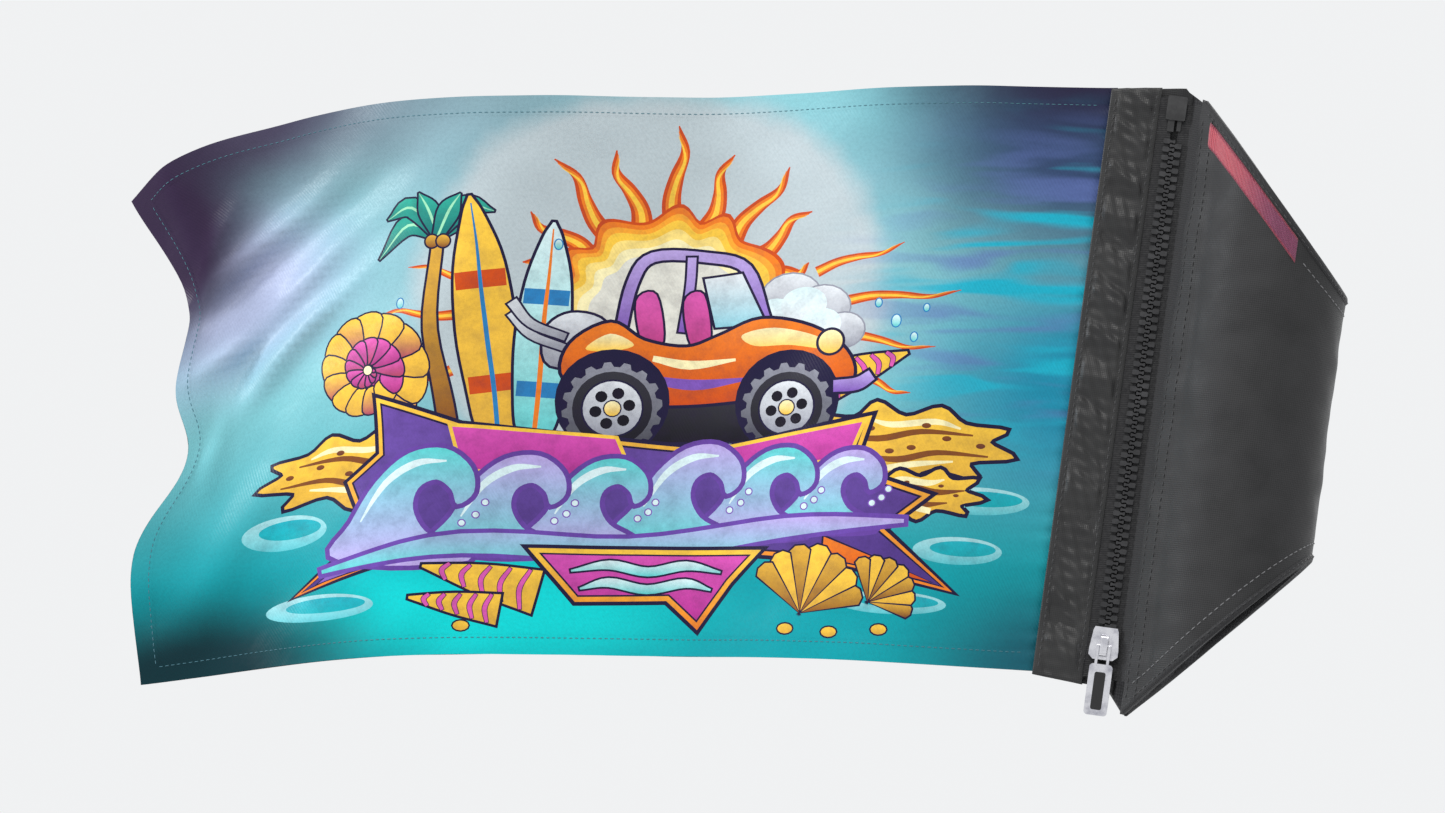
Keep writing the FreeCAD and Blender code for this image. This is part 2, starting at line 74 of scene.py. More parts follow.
# ---- sizes shared with the CAD model ----
SEAT = next(m for m in frame["record"]["mounts"] if m["name"] == "roll_bar_seat")
ALONG = np.array(SEAT["axis"])
DEPTH = np.array([0.0, 1.0, 0.0])
ACROSS = np.cross(DEPTH, ALONG)
BAR_RADIUS = SEAT["dims"]["r_mm"]
LINING = 1.0
SHELL = 1.5
SHELL_RADIUS = BAR_RADIUS + LINING + SHELL
BACK_HALF = 56.3
ZIP_HALF = 134.0
PANEL_EDGE = -37.0
EDGE_SLOPE = (ZIP_HALF - BACK_HALF) / (SHELL_RADIUS - PANEL_EDGE)
TANGENT = math.radians(135)
HEADER_LEFT, HEADER_RIGHT = -77.7, -56.0
HEADER_BOTTOM = -121.0
HEADER_DROP = 1.5                      # how much lower it ends on the sleeve's side
HEADER_TOP_LEVEL = 143.5
HEADER_SEAMS = (HEADER_LEFT + 2.4, HEADER_RIGHT - 1.9)
TAIL_END = -46.0                       # the tail sewn into the header ends and the wrap widens
FAR_TAIL_DEPTH = 1.35
FLAG_HINGE = -78.4
FLAG_TOP = [(-58.2, 144), (-180, 144.5), (-310, 143), (-420, 136), (-472, 119), (-494, 103)]
FLAG_FLY = [(-494, 103), (-466, 52), (-471, 14), (-466, -6), (-489, -55), (-486, -112)]
FLAG_BOTTOM = [(-486, -112), (-420, -104), (-223, -101), (-93.6, -107.6)]
# The flag's waves: distance from the hoist seam, depth.
FLAG_WAVE = [(0, 0), (72, -13), (170, 15), (272, -17), (365, 13), (440, -8)]


def place(across, depth, along):
    """Row-frame points, in metres, from sleeve coordinates in millimetres."""
    across, depth, along = (np.asarray(part, float)[..., None] for part in (across, depth, along))
    return (across * ACROSS + depth * DEPTH + along * ALONG) * MM


def through(knots, values, at):
    """A smooth cubic through values at rising knots, read at any places."""
    knots, values, at = (np.asarray(part, float) for part in (knots, values, at))
    slope = np.gradient(values, knots, axis=0)
    index = np.clip(np.searchsorted(knots, at) - 1, 0, len(knots) - 2)
    step = knots[index + 1] - knots[index]
    t = (at - knots[index]) / step
    if values.ndim > 1:
        t, step = t[..., None], step[..., None]
    return ((2 * t**3 - 3 * t**2 + 1) * values[index]
            + (t**3 - 2 * t**2 + t) * step * slope[index]
            + (3 * t**2 - 2 * t**3) * values[index + 1]
            + (t**3 - t**2) * step * slope[index + 1])


def running_length(points):
    """The length run along a line, at each of its points."""
    return np.concatenate([[0], np.cumsum(np.linalg.norm(np.diff(points, axis=0), axis=1))])


def by_length(points):
    """Running length from 0 to 1 of a line's points, and the points as an array."""
    length = running_length(points)
    return length / length[-1], np.asarray(points, float)


def read(at, knots, values):
    """Rows of values read in straight lines between rising knots."""
    return np.stack([np.interp(at, knots, column) for column in np.transpose(values)], -1)


def unit(vectors):
    """Vectors scaled to length 1."""
    return vectors / np.maximum(np.linalg.norm(vectors, axis=-1, keepdims=True), 1e-6)


def left_of(runs):
    """Flat directions turned a quarter turn to the left."""
    return np.stack([-runs[..., 1], runs[..., 0]], -1)


def polar(radius, angle):
    """Flat points at distances from 0, 0 and angles in radians."""
    return np.stack([np.cos(angle), np.sin(angle)], -1) * np.asarray(radius)[..., None]


def turned(points, degrees):
    """Points turned about 0, 0."""
    cos, sin = math.cos(math.radians(degrees)), math.sin(math.radians(degrees))
    return np.asarray(points, float) @ np.array([[cos, sin], [-sin, cos]])


def ripples(u, v, seed, lengths, count=7):
    """Gentle irregular ripples, about -1 to 1, from sines of random direction and length."""
    rng = np.random.default_rng(seed)
    total = np.zeros(np.broadcast(u, v).shape)
    for _ in range(count):
        angle = rng.uniform(0, math.pi)
        wave = 2 * math.pi / rng.uniform(*lengths)
        total = total + np.sin((u * math.cos(angle) + v * math.sin(angle)) * wave + rng.uniform(0, 7))
    return total / math.sqrt(count)


def smoothstep(low, high, value):
    """0 below low, 1 above high, smooth between."""
    t = np.clip((value - low) / (high - low), 0, 1)
    return t * t * (3 - 2 * t)


# ---- material building ----
def rgb(red, green, blue):
    """A screen colour as the linear colour that the shaders use."""
    return tuple(((c + 0.055) / 1.055) ** 2.4 if c > 0.04 else c / 12.92 for c in (red, green, blue))


def greys(dark, light, blue=0.01):
    """A dark and a light grey, both slightly blue."""
    return rgb(dark, dark, dark + blue), rgb(light, light, light + blue)


class Paint:
    """A node material, with short calls to add and link nodes.

    on_flat takes the cloth coordinates of the mesh, otherwise the row frame's. Both are in metres.
    """

    def __init__(self, name, on_flat=False, **surface):
        self.material = bpy.data.materials.new(name)
        self.material.use_nodes = True
        self.nodes = self.material.node_tree.nodes
        self.links = self.material.node_tree.links
        self.shader = self.nodes["Principled BSDF"]
        for key, value in surface.items():
            self.shader.inputs[key.replace("_", " ")].default_value = value
        if on_flat:
            self.where = self.node("UVMap", uv_map="flat").outputs[0]
        else:
            self.where = self.node("TexCoord").outputs["Object"]

    def set(self, socket, value):
        """Link a socket, or set its value."""
        if isinstance(value, bpy.types.NodeSocket):
            self.links.new(value, socket)
        elif isinstance(value, tuple) and len(value) == 3 and socket.type == "RGBA":
            socket.default_value = (*value, 1)
        else:
            socket.default_value = value

    def node(self, kind, inputs=None, **settings):
        """Add a node. inputs maps socket names or numbers to values or sockets."""
        node = self.nodes.new("ShaderNode" + kind)
        for key, value in settings.items():
            setattr(node, key, value)
        for key, value in (inputs or {}).items():
            self.set(node.inputs[key], value)
        return node

    def math(self, operation, *values):
        """One math node's result."""
        return self.node("Math", dict(enumerate(values)), operation=operation).outputs[0]

    def mix(self, share, low, high):
        """A blend of two colours."""
        return self.node("Mix", {0: share, 6: low, 7: high}, data_type="RGBA").outputs[2]

    def coordinates(self, stretch):
        """The coordinates, multiplied by stretch if it is given."""
        if stretch is None:
            return self.where
        return self.node("VectorMath", {0: self.where, 1: stretch}, operation="MULTIPLY").outputs[0]

    def noise(self, scale, detail=3.0, roughness=0.5, distortion=0.0, stretch=None):
        """Noise, 0 to 1."""
        settings = {"Vector": self.coordinates(stretch), "Scale": scale, "Detail": detail,
                    "Roughness": roughness, "Distortion": distortion}
        return self.node("TexNoise", settings).outputs[0]

    def waves(self, pitch, direction, stretch=None):
        """Parallel sine ridges a pitch apart, in metres."""
        settings = {"Vector": self.coordinates(stretch), "Scale": math.pi / (10 * pitch)}
        return self.node("TexWave", settings, bands_direction=direction).outputs[1]

    def ramp(self, value, low, high, to_low=0.0, to_high=1.0):
        """A value's range mapped smoothly to another."""
        settings = {"Value": value, "From Min": low, "From Max": high, "To Min": to_low, "To Max": to_high}
        return self.node("MapRange", settings, interpolation_type="SMOOTHSTEP").outputs[0]

    def finish(self, color, roughness, *bumps):
        """Link the colour, the roughness and a chain of bumps, each (height, distance in metres)."""
        normal = None
        for height, distance in bumps:
            inputs = {"Height": height, "Distance": distance, "Strength": 1.0}
            if normal:
                inputs["Normal"] = normal
            normal = self.node("Bump", inputs).outputs[0]
        for name, value in (("Base Color", color), ("Roughness", roughness), ("Normal", normal)):
            if value is not None:
                self.set(self.shader.inputs[name], value)
        return self.material


def cloth_material(name, tones, pitch, relief, rough=(0.6, 0.8), sheen=0.2, on_flat=True, wrinkle=0.0):
    """Woven cloth: threads, soft mottling and a little sheen."""
    paint = Paint(name, on_flat, Sheen_Weight=sheen, Sheen_Roughness=0.4, Specular_IOR_Level=0.35)
    threads = [paint.waves(pitch, direction) for direction in ("X", "Y" if on_flat else "Z")]
    weave = paint.math("MULTIPLY", paint.math("ADD", *threads), 0.5)
    mottle = paint.noise(60.0, 5.0, 0.6)
    tone = paint.math("MULTIPLY_ADD", mottle, 0.7, paint.math("MULTIPLY", weave, 0.3))
    creases = [(paint.noise(55.0, 2.0, 0.45), wrinkle)] if wrinkle else []
    color, roughness = paint.mix(paint.ramp(tone, 0.25, 0.75), *tones), paint.ramp(mottle, 0.3, 0.7, *rough)
    return paint.finish(color, roughness, *creases, (weave, relief), (paint.noise(1400.0, 2.0), relief * 0.5))


def ribbed_tape(name, tones, pitch, relief, direction, on_flat=True):
    """Woven tape with ribs across it."""
    paint = Paint(name, on_flat, Sheen_Weight=0.15, Specular_IOR_Level=0.4)
    ribs = paint.waves(pitch, direction)
    fuzz = paint.noise(900.0)
    tone = paint.math("MULTIPLY_ADD", ribs, 0.6, paint.math("MULTIPLY", fuzz, 0.4))
    return paint.finish(paint.mix(tone, *tones), paint.ramp(fuzz, 0.2, 0.8, 0.55, 0.8),
                        (ribs, relief), (fuzz, relief * 0.4))


def plastic(name, tones, rough):
    """Moulded plastic with a faint grain and rubbed spots."""
    paint = Paint(name, Specular_IOR_Level=0.5)
    rubbed = paint.noise(130.0, 4.0, 0.65)
    color, roughness = paint.mix(paint.ramp(rubbed, 0.35, 0.75), *tones), paint.ramp(rubbed, 0.3, 0.7, *rough)
    return paint.finish(color, roughness, (paint.noise(1800.0, 2.0), 0.00003))


def plated_metal(name):
    """Nickel plate: soft brushed streaks, darker in the hollows."""
    paint = Paint(name, Metallic=1.0)
    streaks = paint.noise(2500.0, stretch=(1.0, 1.0, 0.12))
    tarnish = paint.ramp(paint.noise(220.0, 4.0, 0.6), 0.4, 0.8)
    return paint.finish(paint.mix(tarnish, rgb(0.86, 0.86, 0.88), rgb(0.66, 0.66, 0.70)),
                        paint.ramp(streaks, 0.3, 0.7, 0.16, 0.34), (streaks, 0.00001))


def thread(name, tones):
    """Twisted sewing thread."""
    paint = Paint(name, Sheen_Weight=0.3, Specular_IOR_Level=0.4)
    twist = paint.noise(2600.0, 2.0)
    return paint.finish(paint.mix(twist, *tones), 0.6, (twist, 0.00006))


def woven_label_material():
    """Pink-red woven ribbon: fine ribs, darker and more purple towards its lower end."""
    paint = Paint("woven_label", True, Sheen_Weight=0.3, Specular_IOR_Level=0.4)
    x, y, _ = paint.node("SeparateXYZ", {0: paint.where}).outputs
    ribs = paint.waves(0.0009, "X")
    worn = paint.noise(260.0, 4.0, 0.6)
    body = paint.mix(paint.ramp(x, 0.012, 0.05), rgb(0.50, 0.20, 0.36), rgb(0.80, 0.33, 0.38))
    edge = paint.ramp(paint.math("ABSOLUTE", y), 0.0024, 0.0032)
    body = paint.mix(edge, body, rgb(0.55, 0.16, 0.24))
    shade = paint.math("MULTIPLY_ADD", ribs, 0.35, paint.math("MULTIPLY", worn, 0.35))
    return paint.finish(paint.mix(shade, body, rgb(0.36, 0.10, 0.20)), 0.55,
                        (ribs, 0.0002), (paint.waves(0.0006, "Y"), 0.0001))


# Soft patches of the printed sea and sky, one lightened as a painted highlight and one darkened as painted
# shade,
# back to front: middle, half size, where the patch starts to fade as a share of its size, colour.
SEA_SKY_AND_PAINTED_LIGHT = [
    ((165, 20), (120, 40), 0.2, rgb(0.00, 0.84, 0.84)),
    ((24, 0), (128, 54), 0.2, rgb(0.01, 0.18, 0.21)),
    ((405, 0), (70, 56), 0.1, rgb(0.08, 0.36, 0.42)),
    # Pale printed sky near the fly, made lighter still as a painted highlight over the folds there.
    ((32, 184), (94, 66), 0.2, rgb(0.67, 0.71, 0.83)),
    ((120, 262), (150, 90), 0.2, rgb(0.50, 0.62, 0.66)),
    ((405, 125), (100, 90), 0.1, rgb(0.10, 0.54, 0.66)),
    ((405, 232), (130, 84), 0.2, rgb(0.20, 0.28, 0.42)),
    # Dark printed sky along the top beside the header, darkened further as painted shade of the cloth's wave.
    ((405, 266), (120, 44), 0.2, rgb(0.14, 0.11, 0.22)),
    ((48, 262), (112, 60), 0.2, rgb(0.27, 0.25, 0.34)),
    ((0, 226), (72, 74), 0.35, rgb(0.19, 0.13, 0.24)),
    ((220, 165), (142, 118), 0.4, rgb(0.56, 0.70, 0.75)),
    ((225, 163), (105, 100), 0.86, rgb(0.71, 0.76, 0.78)),
]


def printed_satin():
    """Dye-printed satin: sea and sky from nodes, two patches also painted highlight and painted shade, the
    picture's inks from the mesh, fine slanted twill.
    """
    paint = Paint("printed_satin", True, Specular_IOR_Level=0.17, Sheen_Weight=0.02, Sheen_Roughness=0.35)
    x, y, _ = paint.node("SeparateXYZ", {0: paint.where}).outputs
    cloud = paint.math("MULTIPLY_ADD", paint.noise(22.0, 4.0, 0.6), 0.16, -0.08)

    def patch(center, size, fade_from):
        """1 inside an ellipse, fading to 0 at its rim."""
        squares = []
        for value, middle, half in zip((x, y), center, size):
            share = paint.math("DIVIDE", paint.math("SUBTRACT", value, middle * MM), half * MM)
            squares.append(paint.math("POWER", share, 2))
        away = paint.math("SQRT", paint.math("ADD", *squares))
        return paint.ramp(paint.math("ADD", away, cloud), fade_from, 1.0, 1.0, 0.0)

    color = paint.mix(paint.ramp(y, 0.035, 0.150), rgb(0.01, 0.60, 0.64), rgb(0.50, 0.75, 0.78))
    # Print patches; two of them also carry painted highlight and painted shade.
    for center, size, fade_from, tint in SEA_SKY_AND_PAINTED_LIGHT:
        color = paint.mix(patch(center, size, fade_from), color, tint)
    streaks = paint.noise(70.0, 2.0, 0.5, 0.35, stretch=(0.17, 1.0, 1.0))
    right = patch((400, 165), (112, 92), 0.3)
    for low, high, most, tint in ((0.50, 0.64, 0.7, rgb(0.38, 0.45, 0.70)),
                                  (0.48, 0.36, 1.0, rgb(0.10, 0.68, 0.78))):
        share = paint.math("MULTIPLY", paint.ramp(streaks, low, high, 0.0, most), right)
        color = paint.mix(share, color, tint)

    ink_layer = paint.node("Attribute", attribute_name="ink").outputs
    airbrush = paint.ramp(paint.noise(120.0, 4.0, 0.65), 0.35, 0.75, 0.0, 0.26)
    inked = paint.mix(airbrush, ink_layer["Color"], rgb(0.16, 0.10, 0.24))
    color = paint.mix(ink_layer["Alpha"], color, inked)
    grain = paint.noise(700.0, 3.0, 0.6)
    color = paint.mix(paint.ramp(grain, 0.3, 0.8, 0.0, 0.12), color, rgb(0.04, 0.08, 0.16))
    twill = paint.waves(0.0007, "DIAGONAL", stretch=(1.0, 0.6, 1.0))
    return paint.finish(color, paint.ramp(grain, 0.2, 0.8, 0.30, 0.42),
                        (paint.noise(38.0, 3.0, 0.5, 0.4), 0.0008), (twill, 0.00004), (grain, 0.00003))


# ---- mesh building ----
def add_object(name, verts, faces, material, sharp_deg=None):
    """A smooth mesh object."""
    mesh = bpy.data.meshes.new(name)
    mesh.from_pydata(np.asarray(verts, float).tolist(), [], [list(map(int, face)) for face in faces])
    mesh.polygons.foreach_set("use_smooth", [True] * len(mesh.polygons))
    if sharp_deg:
        mesh.set_sharp_from_angle(angle=math.radians(sharp_deg))
    mesh.materials.append(material)
    mesh.update()
    made = bpy.data.objects.new(name, mesh)
    scene.collection.objects.link(made)
    return made


def set_flat(made, coordinates):
    """Give a mesh its cloth coordinates, one (x, y) in metres per vertex."""
    layer = made.data.uv_layers.new(name="flat")
    corners = np.empty(len(made.data.loops), int)
    made.data.loops.foreach_get("vertex_index", corners)
    layer.data.foreach_set("uv", np.asarray(coordinates, np.float32)[corners].ravel())
    return made


def shell(name, outer, inner, flat, material, sharp_deg=50):
    """A closed thin shell between two grids of row-frame points in metres."""
    rows, columns = outer.shape[:2]
    count = rows * columns
    index = np.arange(count).reshape(rows, columns)
    rim = np.concatenate([index[0, :], index[1:, -1], index[-1, -2::-1], index[-2:0:-1, 0]])
    following = np.roll(rim, -1)
    sides = np.stack([rim, following, following + count, rim + count], -1)
    quads = np.stack([index[:-1, :-1], index[1:, :-1], index[1:, 1:], index[:-1, 1:]], -1).reshape(-1, 4)
    faces = np.concatenate([quads, quads[:, ::-1] + count, sides])
    verts = np.concatenate([outer.reshape(-1, 3), inner.reshape(-1, 3)])
    made = outward(add_object(name, verts, faces, material, sharp_deg))
    return set_flat(made, np.concatenate([flat.reshape(-1, 2)] * 2) * MM)


def outward(made):
    """Turn a closed mesh so that its faces look outwards."""
    mesh = made.data
    mesh.calc_loop_triangles()
    spots = np.empty(3 * len(mesh.vertices))
    mesh.vertices.foreach_get("co", spots)
    corners = np.empty(3 * len(mesh.loop_triangles), int)
    mesh.loop_triangles.foreach_get("vertices", corners)
    first, second, third = np.moveaxis(spots.reshape(-1, 3)[corners.reshape(-1, 3)], 1, 0)
    if np.sum(first * np.cross(second, third)) < 0:
        mesh.flip_normals()
    return made


def tube_faces(rings, sides, start=0):
    """Quads of a tube of vertex rings, and its two end caps."""
    index = start + np.arange(rings * sides).reshape(rings, sides)
    after = np.roll(index, -1, 1)
    quads = np.stack([index[:-1], after[:-1], after[1:], index[1:]], -1).reshape(-1, 4)
    return [*quads.tolist(), index[0, ::-1].tolist(), index[-1].tolist()]


def stitches(name, points, lifts, material, pitch, share, radius):
    """A line of raised stitches on a surface: points on it and the directions out of it, in mm.

    Each stitch covers a share of the pitch.
    """
    length = running_length(points)
    # Rings of one stitch: place along it, then thickness and height as shares of its radius.
    rings = [(0.0, 0.15, -0.3), (0.12, 0.8, 0.35), (0.5, 1.0, 0.75), (0.88, 0.8, 0.35), (1.0, 0.15, -0.3)]
    angle = np.linspace(0, 2 * math.pi, 6, endpoint=False)[:, None]
    verts, faces = [], []
    for start in np.arange(pitch / 2, length[-1] - pitch, pitch):
        first, last = read((start, start + share * pitch), length, points)
        lift = read(start, length, lifts)
        sideways = np.cross(unit(last - first), lift)
        ring_shape = sideways * np.cos(angle) + lift * np.sin(angle)
        faces += tube_faces(len(rings), len(angle), len(angle) * len(verts))
        for part, size, height in rings:
            verts.append(first + (last - first) * part + (lift * height + ring_shape * size) * radius)
    return outward(add_object(name, np.reshape(verts, (-1, 3)) * MM, faces, material))


# ---- flag: shape ----
ART_WIDTH, ART_HEIGHT = 405.0, 254.0
CLOTH_HALF = 0.4
HEM_EXTRA = 0.35
HEM_WIDTH = 9.0
HEM_STEP = (HEM_WIDTH - 0.3, HEM_WIDTH + 0.3)
HEADER_TUCK = 2.2              # cloth that runs on inside the header

# Diagonal tension folds near the fly end: (x, z) of the middle, slope in degrees, half width,
# half length, height towards the viewer.
FOLDS = [
    ((-428, 84), 38, 6.5, 34, 6.5),
    ((-440, 66), 42, 6.0, 26, -4.5),
    ((-415, 62), 44, 5.5, 30, 5.5),
    ((-432, 42), 46, 6.5, 28, -4.5),
    ((-424, 32), 50, 6.0, 30, 5.0),
    ((-448, 14), 62, 8.0, 36, -4.0),
    ((-446, -52), 58, 12.0, 50, 5.0),
    ((-452, 84), 66, 4.5, 20, 2.6),
    ((-446, 34), 34, 4.0, 18, 2.8),
    ((-452, 2), 78, 5.0, 24, 2.4),
    ((-402, 52), 40, 4.0, 26, 2.2),
    ((-395, 96), 32, 9.0, 40, -3.0),
    ((-360, 40), 54, 14.0, 60, 2.2),
    ((-330, -60), 60, 16.0, 56, -2.4),
    ((-210, 60), 72, 15.0, 70, 1.8),
]
CREASE = ((-476, 118), (-455, 52))     # the fly's upper corner is turned back beyond this line
CREASE_ROUND, CREASE_RISE = 2.0, 1.15  # how softly it turns, and how steeply it then runs back


def flag_outline_point(s, t):
    """Side view of the flag: s from hoist to fly, t from bottom to top."""
    top = through(*by_length(FLAG_TOP), s)
    bottom = through(*by_length(FLAG_BOTTOM[::-1]), s)
    fly = through(*by_length(FLAG_FLY[::-1]), t)
    s, t = s[..., None], t[..., None]
    fly_line = np.array(FLAG_FLY[-1]) * (1 - t) + np.array(FLAG_FLY[0]) * t
    return bottom * (1 - t) + top * t + (fly - fly_line) * np.clip(s, 0, 1) ** 5


def flag_depth(x, z):
    """Depth of the waving cloth at a point of its side view."""
    from_hinge = FLAG_HINGE - (x * ACROSS[0] + z * ACROSS[2])
    depth = through(*zip(*FLAG_WAVE), np.maximum(from_hinge, 0))
    for (mid_x, mid_z), slope, width, length, height in FOLDS:
        run, aside = np.moveaxis(turned(np.stack([x - mid_x, z - mid_z], -1), -slope), -1, 0)
        depth = depth - height * np.exp(-(aside / width) ** 2 - (run / length) ** 2)
    # The turned-back corner fades out below it.
    (x0, z0), (x1, z1) = CREASE
    beyond = ((x - x0) * (z1 - z0) - (z - z0) * (x1 - x0)) / math.hypot(x1 - x0, z1 - z0)
    turned_back = CREASE_ROUND * np.logaddexp(0, beyond / CREASE_ROUND)
    depth = depth + CREASE_RISE * turned_back * smoothstep(40, 70, z)
    # Gathers beside the hoist seam, and small ripples over the rest.
    pucker = 0.45 * np.sin(z * 0.62 + 1.4 * np.sin(z * 0.13)) * np.exp(-np.abs(from_hinge) / 9)
    fine = 0.5 * ripples(x, z, 5, (26, 60)) * smoothstep(6, 60, from_hinge)
    return depth + pucker + fine


def flag_point(a, b):
    """Cloth point in mm from picture coordinates: a from the fly edge to the hoist, b upwards."""
    s, t = 1 - a / ART_WIDTH, b / ART_HEIGHT
    x, z = np.moveaxis(flag_outline_point(s, t), -1, 0)
    return np.stack([x, flag_depth(x, z), z], -1)


def flag_normal(a, b):
    """Unit normal of the cloth, towards the viewer."""
    step = 0.4
    rightward = flag_point(a + step, b) - flag_point(a - step, b)
    upward = flag_point(a, b + step) - flag_point(a, b - step)
    return unit(np.cross(rightward, upward))


def hem_share(a, b):
    """1 on the turned hems, 0 inside them."""
    inside_by = np.minimum(np.minimum(b, ART_HEIGHT - b), a)
    return 1 - smoothstep(*HEM_STEP, inside_by)


# ---- flag: picture ----
NAVY = rgb(0.10, 0.08, 0.22)
DEEP_ORANGE = rgb(0.80, 0.30, 0.08)
ORANGE = rgb(0.94, 0.50, 0.13)
YELLOW = rgb(0.99, 0.80, 0.27)
CREAM = rgb(0.99, 0.95, 0.74)
GOLD = rgb(0.88, 0.68, 0.24)
BROWN = rgb(0.52, 0.30, 0.12)
PINK = rgb(0.87, 0.36, 0.70)
DEEP_PINK = rgb(0.66, 0.20, 0.48)
PURPLE = rgb(0.50, 0.34, 0.72)
LILAC = rgb(0.74, 0.66, 0.90)
AQUA = rgb(0.36, 0.82, 0.82)
BLUE = rgb(0.16, 0.50, 0.74)
FOAM = rgb(0.86, 0.95, 0.96)
PALE = rgb(0.88, 0.90, 0.92)
STEEL = rgb(0.58, 0.59, 0.64)
TYRE = rgb(0.20, 0.20, 0.23)
BLACK = rgb(0.06, 0.05, 0.09)

picture = []                   # (outline, lower colour, upper colour), later ones on top


def rounded(points, per_span=5):
    """A closed smooth outline through points."""
    count = len(points)
    knots = np.arange(-2, count + 3)
    return through(knots, np.asarray(points, float)[knots % count], np.arange(0, count, 1 / per_span))


def ellipse(center, radius_x, radius_y=None, count=28):
    """An ellipse's outline."""
    angle = np.linspace(0, 2 * math.pi, count, endpoint=False)
    return polar(1, angle) * (radius_x, radius_y or radius_x) + center


def grown(points, by):
    """A closed outline moved outwards, with short mitres."""
    points = np.asarray(points, float)
    before, after = np.roll(points, 1, 0), np.roll(points, -1, 0)
    to_outside = -np.sign(np.sum(left_of(points) * after))
    first, second = (left_of(unit(run)) * to_outside for run in (points - before, after - points))
    middle = unit(first + second)
    mitre = np.clip(np.sum(middle * first, axis=1, keepdims=True), 0.45, 1)
    return points + middle / mitre * by


def ink(points, low, high=None, line=0.0, line_color=NAVY):
    """Print one shape, with its outline under it."""
    points = np.asarray(points, float)
    if line:
        picture.append((grown(points, line), line_color, line_color))
    picture.append((points, low, high or low))


def stroke(points, widths, low, high=None, line=0.0, line_color=NAVY, per_span=5):
    """Print a smooth stroke that passes through points with the given half widths."""
    knots = np.arange(len(points))
    places = np.linspace(0, knots[-1], knots[-1] * per_span + 1)
    path = through(knots, points, places)
    aside = left_of(unit(np.gradient(path, axis=0))) * through(knots, widths, places)[:, None]
    ink(np.concatenate([path + aside, (path - aside)[::-1]]), low, high, line, line_color)


def sun_ray(center, degrees, start, end, width, bend):
    """One wavy ray: an orange flame with a yellow heart."""
    share = np.linspace(0, 1, 5)
    for scale, low in ((1.0, DEEP_ORANGE), (0.62, ORANGE), (0.3, YELLOW)):
        reach = start + (end - start) * share * (0.86 + 0.14 * scale)
        sway = bend * np.sin(share * 2 * math.pi) * (0.4 + share)
        path = turned(np.stack([reach, sway], -1), degrees) + center
        stroke(path, width * scale * (1.02 - share) ** 0.7, low)


def sun(center):
    """Sun with wavy rays, a flaming rim and a pale face."""
    rays = [(8, 52), (24, 64), (40, 76), (56, 84), (73, 80), (90, 90),
            (107, 82), (123, 88), (139, 76), (156, 66), (172, 54)]
    for number, (degrees, end) in enumerate(rays):
        sun_ray(center, degrees, 44, end, 4.6, 2.6 if number % 2 else -2.6)
    for degrees, start, end in ((-17, 84, 112), (-6, 72, 116), (6, 76, 124), (19, 66, 104),
                                (194, 92, 118), (178, 86, 122), (167, 74, 112), (153, 84, 96)):
        sun_ray(center, degrees, start, end, 2.5, 1.6)
    angle = np.linspace(0, 2 * math.pi, 150, endpoint=False)
    flames = np.sin(angle * 13 + 1.1 * np.sin(angle * 5) + 0.6 * np.sin(angle * 3))
    for radius, lick, color in ((51, 3.6, DEEP_ORANGE), (49.5, 3.4, ORANGE), (47, 3.0, rgb(0.98, 0.66, 0.20)),
                                (44.5, 2.6, YELLOW), (41, 2.0, rgb(1.0, 0.89, 0.52)), (37, 1.4, CREAM),
                                (33, 0.8, rgb(0.88, 0.88, 0.84))):
        ink(polar(radius + lick * flames, angle) + center, color)


def surfboard(base, tip, half_width, low, high, stripe, band):
    """A standing surfboard with a stringer stripe and two bands."""

    def up(*shares):
        return read(shares, (0, 1), (base, tip))

    widths = np.array([0.45, 0.8, 1.0, 0.82, 0.36, 0.04]) * half_width
    stroke(up(0.0, 0.12, 0.4, 0.72, 0.92, 1.0), widths, low, high, 1.3)
    for share in (0.24, 0.66):
        stroke(up(share - 0.035, share + 0.035), [half_width * 0.84] * 2, band, per_span=2)
    stroke(up(0.02, 0.5, 0.97), [1.0, 1.0, 0.3], stripe)


def palm_leaf(root, tip, droop, width):
    """One drooping leaf with a pale rib."""
    path = [root, (root + tip) / 2 + (0, droop), tip]
    stroke(path, [width * 0.5, width, 0.2], rgb(0.05, 0.42, 0.42), rgb(0.18, 0.66, 0.58), 0.9)
    stroke(path, [0.5, 0.6, 0.1], rgb(0.62, 0.88, 0.72))


def palm(base, crown):
    """A small palm behind the boards."""
    base, crown = np.array([base, crown], float)
    stroke([base, (base + crown) / 2 - (5, 0), crown], [4.0, 3.0, 2.2], BROWN, GOLD, 1.1)
    leaves = [(-27, -9, 10), (26, -7, 11), (-23, 9, 9), (24, 11, 8), (-8, 20, 2), (10, 19, 2)]
    for reach, rise, droop in leaves:
        palm_leaf(crown, crown + (reach, rise), droop, 4.6)
    for side in (-2.6, 2.4):
        ink(ellipse(crown + (side, -2.5), 2.8), BROWN, GOLD, 0.8)


def wheel(center, radius):
    """Fat tyre with tread blocks, a pale rim and spokes."""
    angle = np.linspace(0, 2 * math.pi, 96, endpoint=False)
    tread = radius + 1.1 * np.sign(np.sin(angle * 16))
    ink(polar(tread, angle) + center, TYRE, STEEL, 1.1)
    ink(ellipse(center, radius * 0.84), BLACK, TYRE)
    ink(ellipse(center, radius * 0.62), STEEL, PALE, 0.8)
    for spoke in range(6):
        hole = polar(radius * 0.36, math.radians(spoke * 60 + 12)) + center
        ink(ellipse(hole, radius * 0.13, count=12), BLACK)
    ink(ellipse(center, radius * 0.17, count=14), YELLOW, CREAM, 0.6)


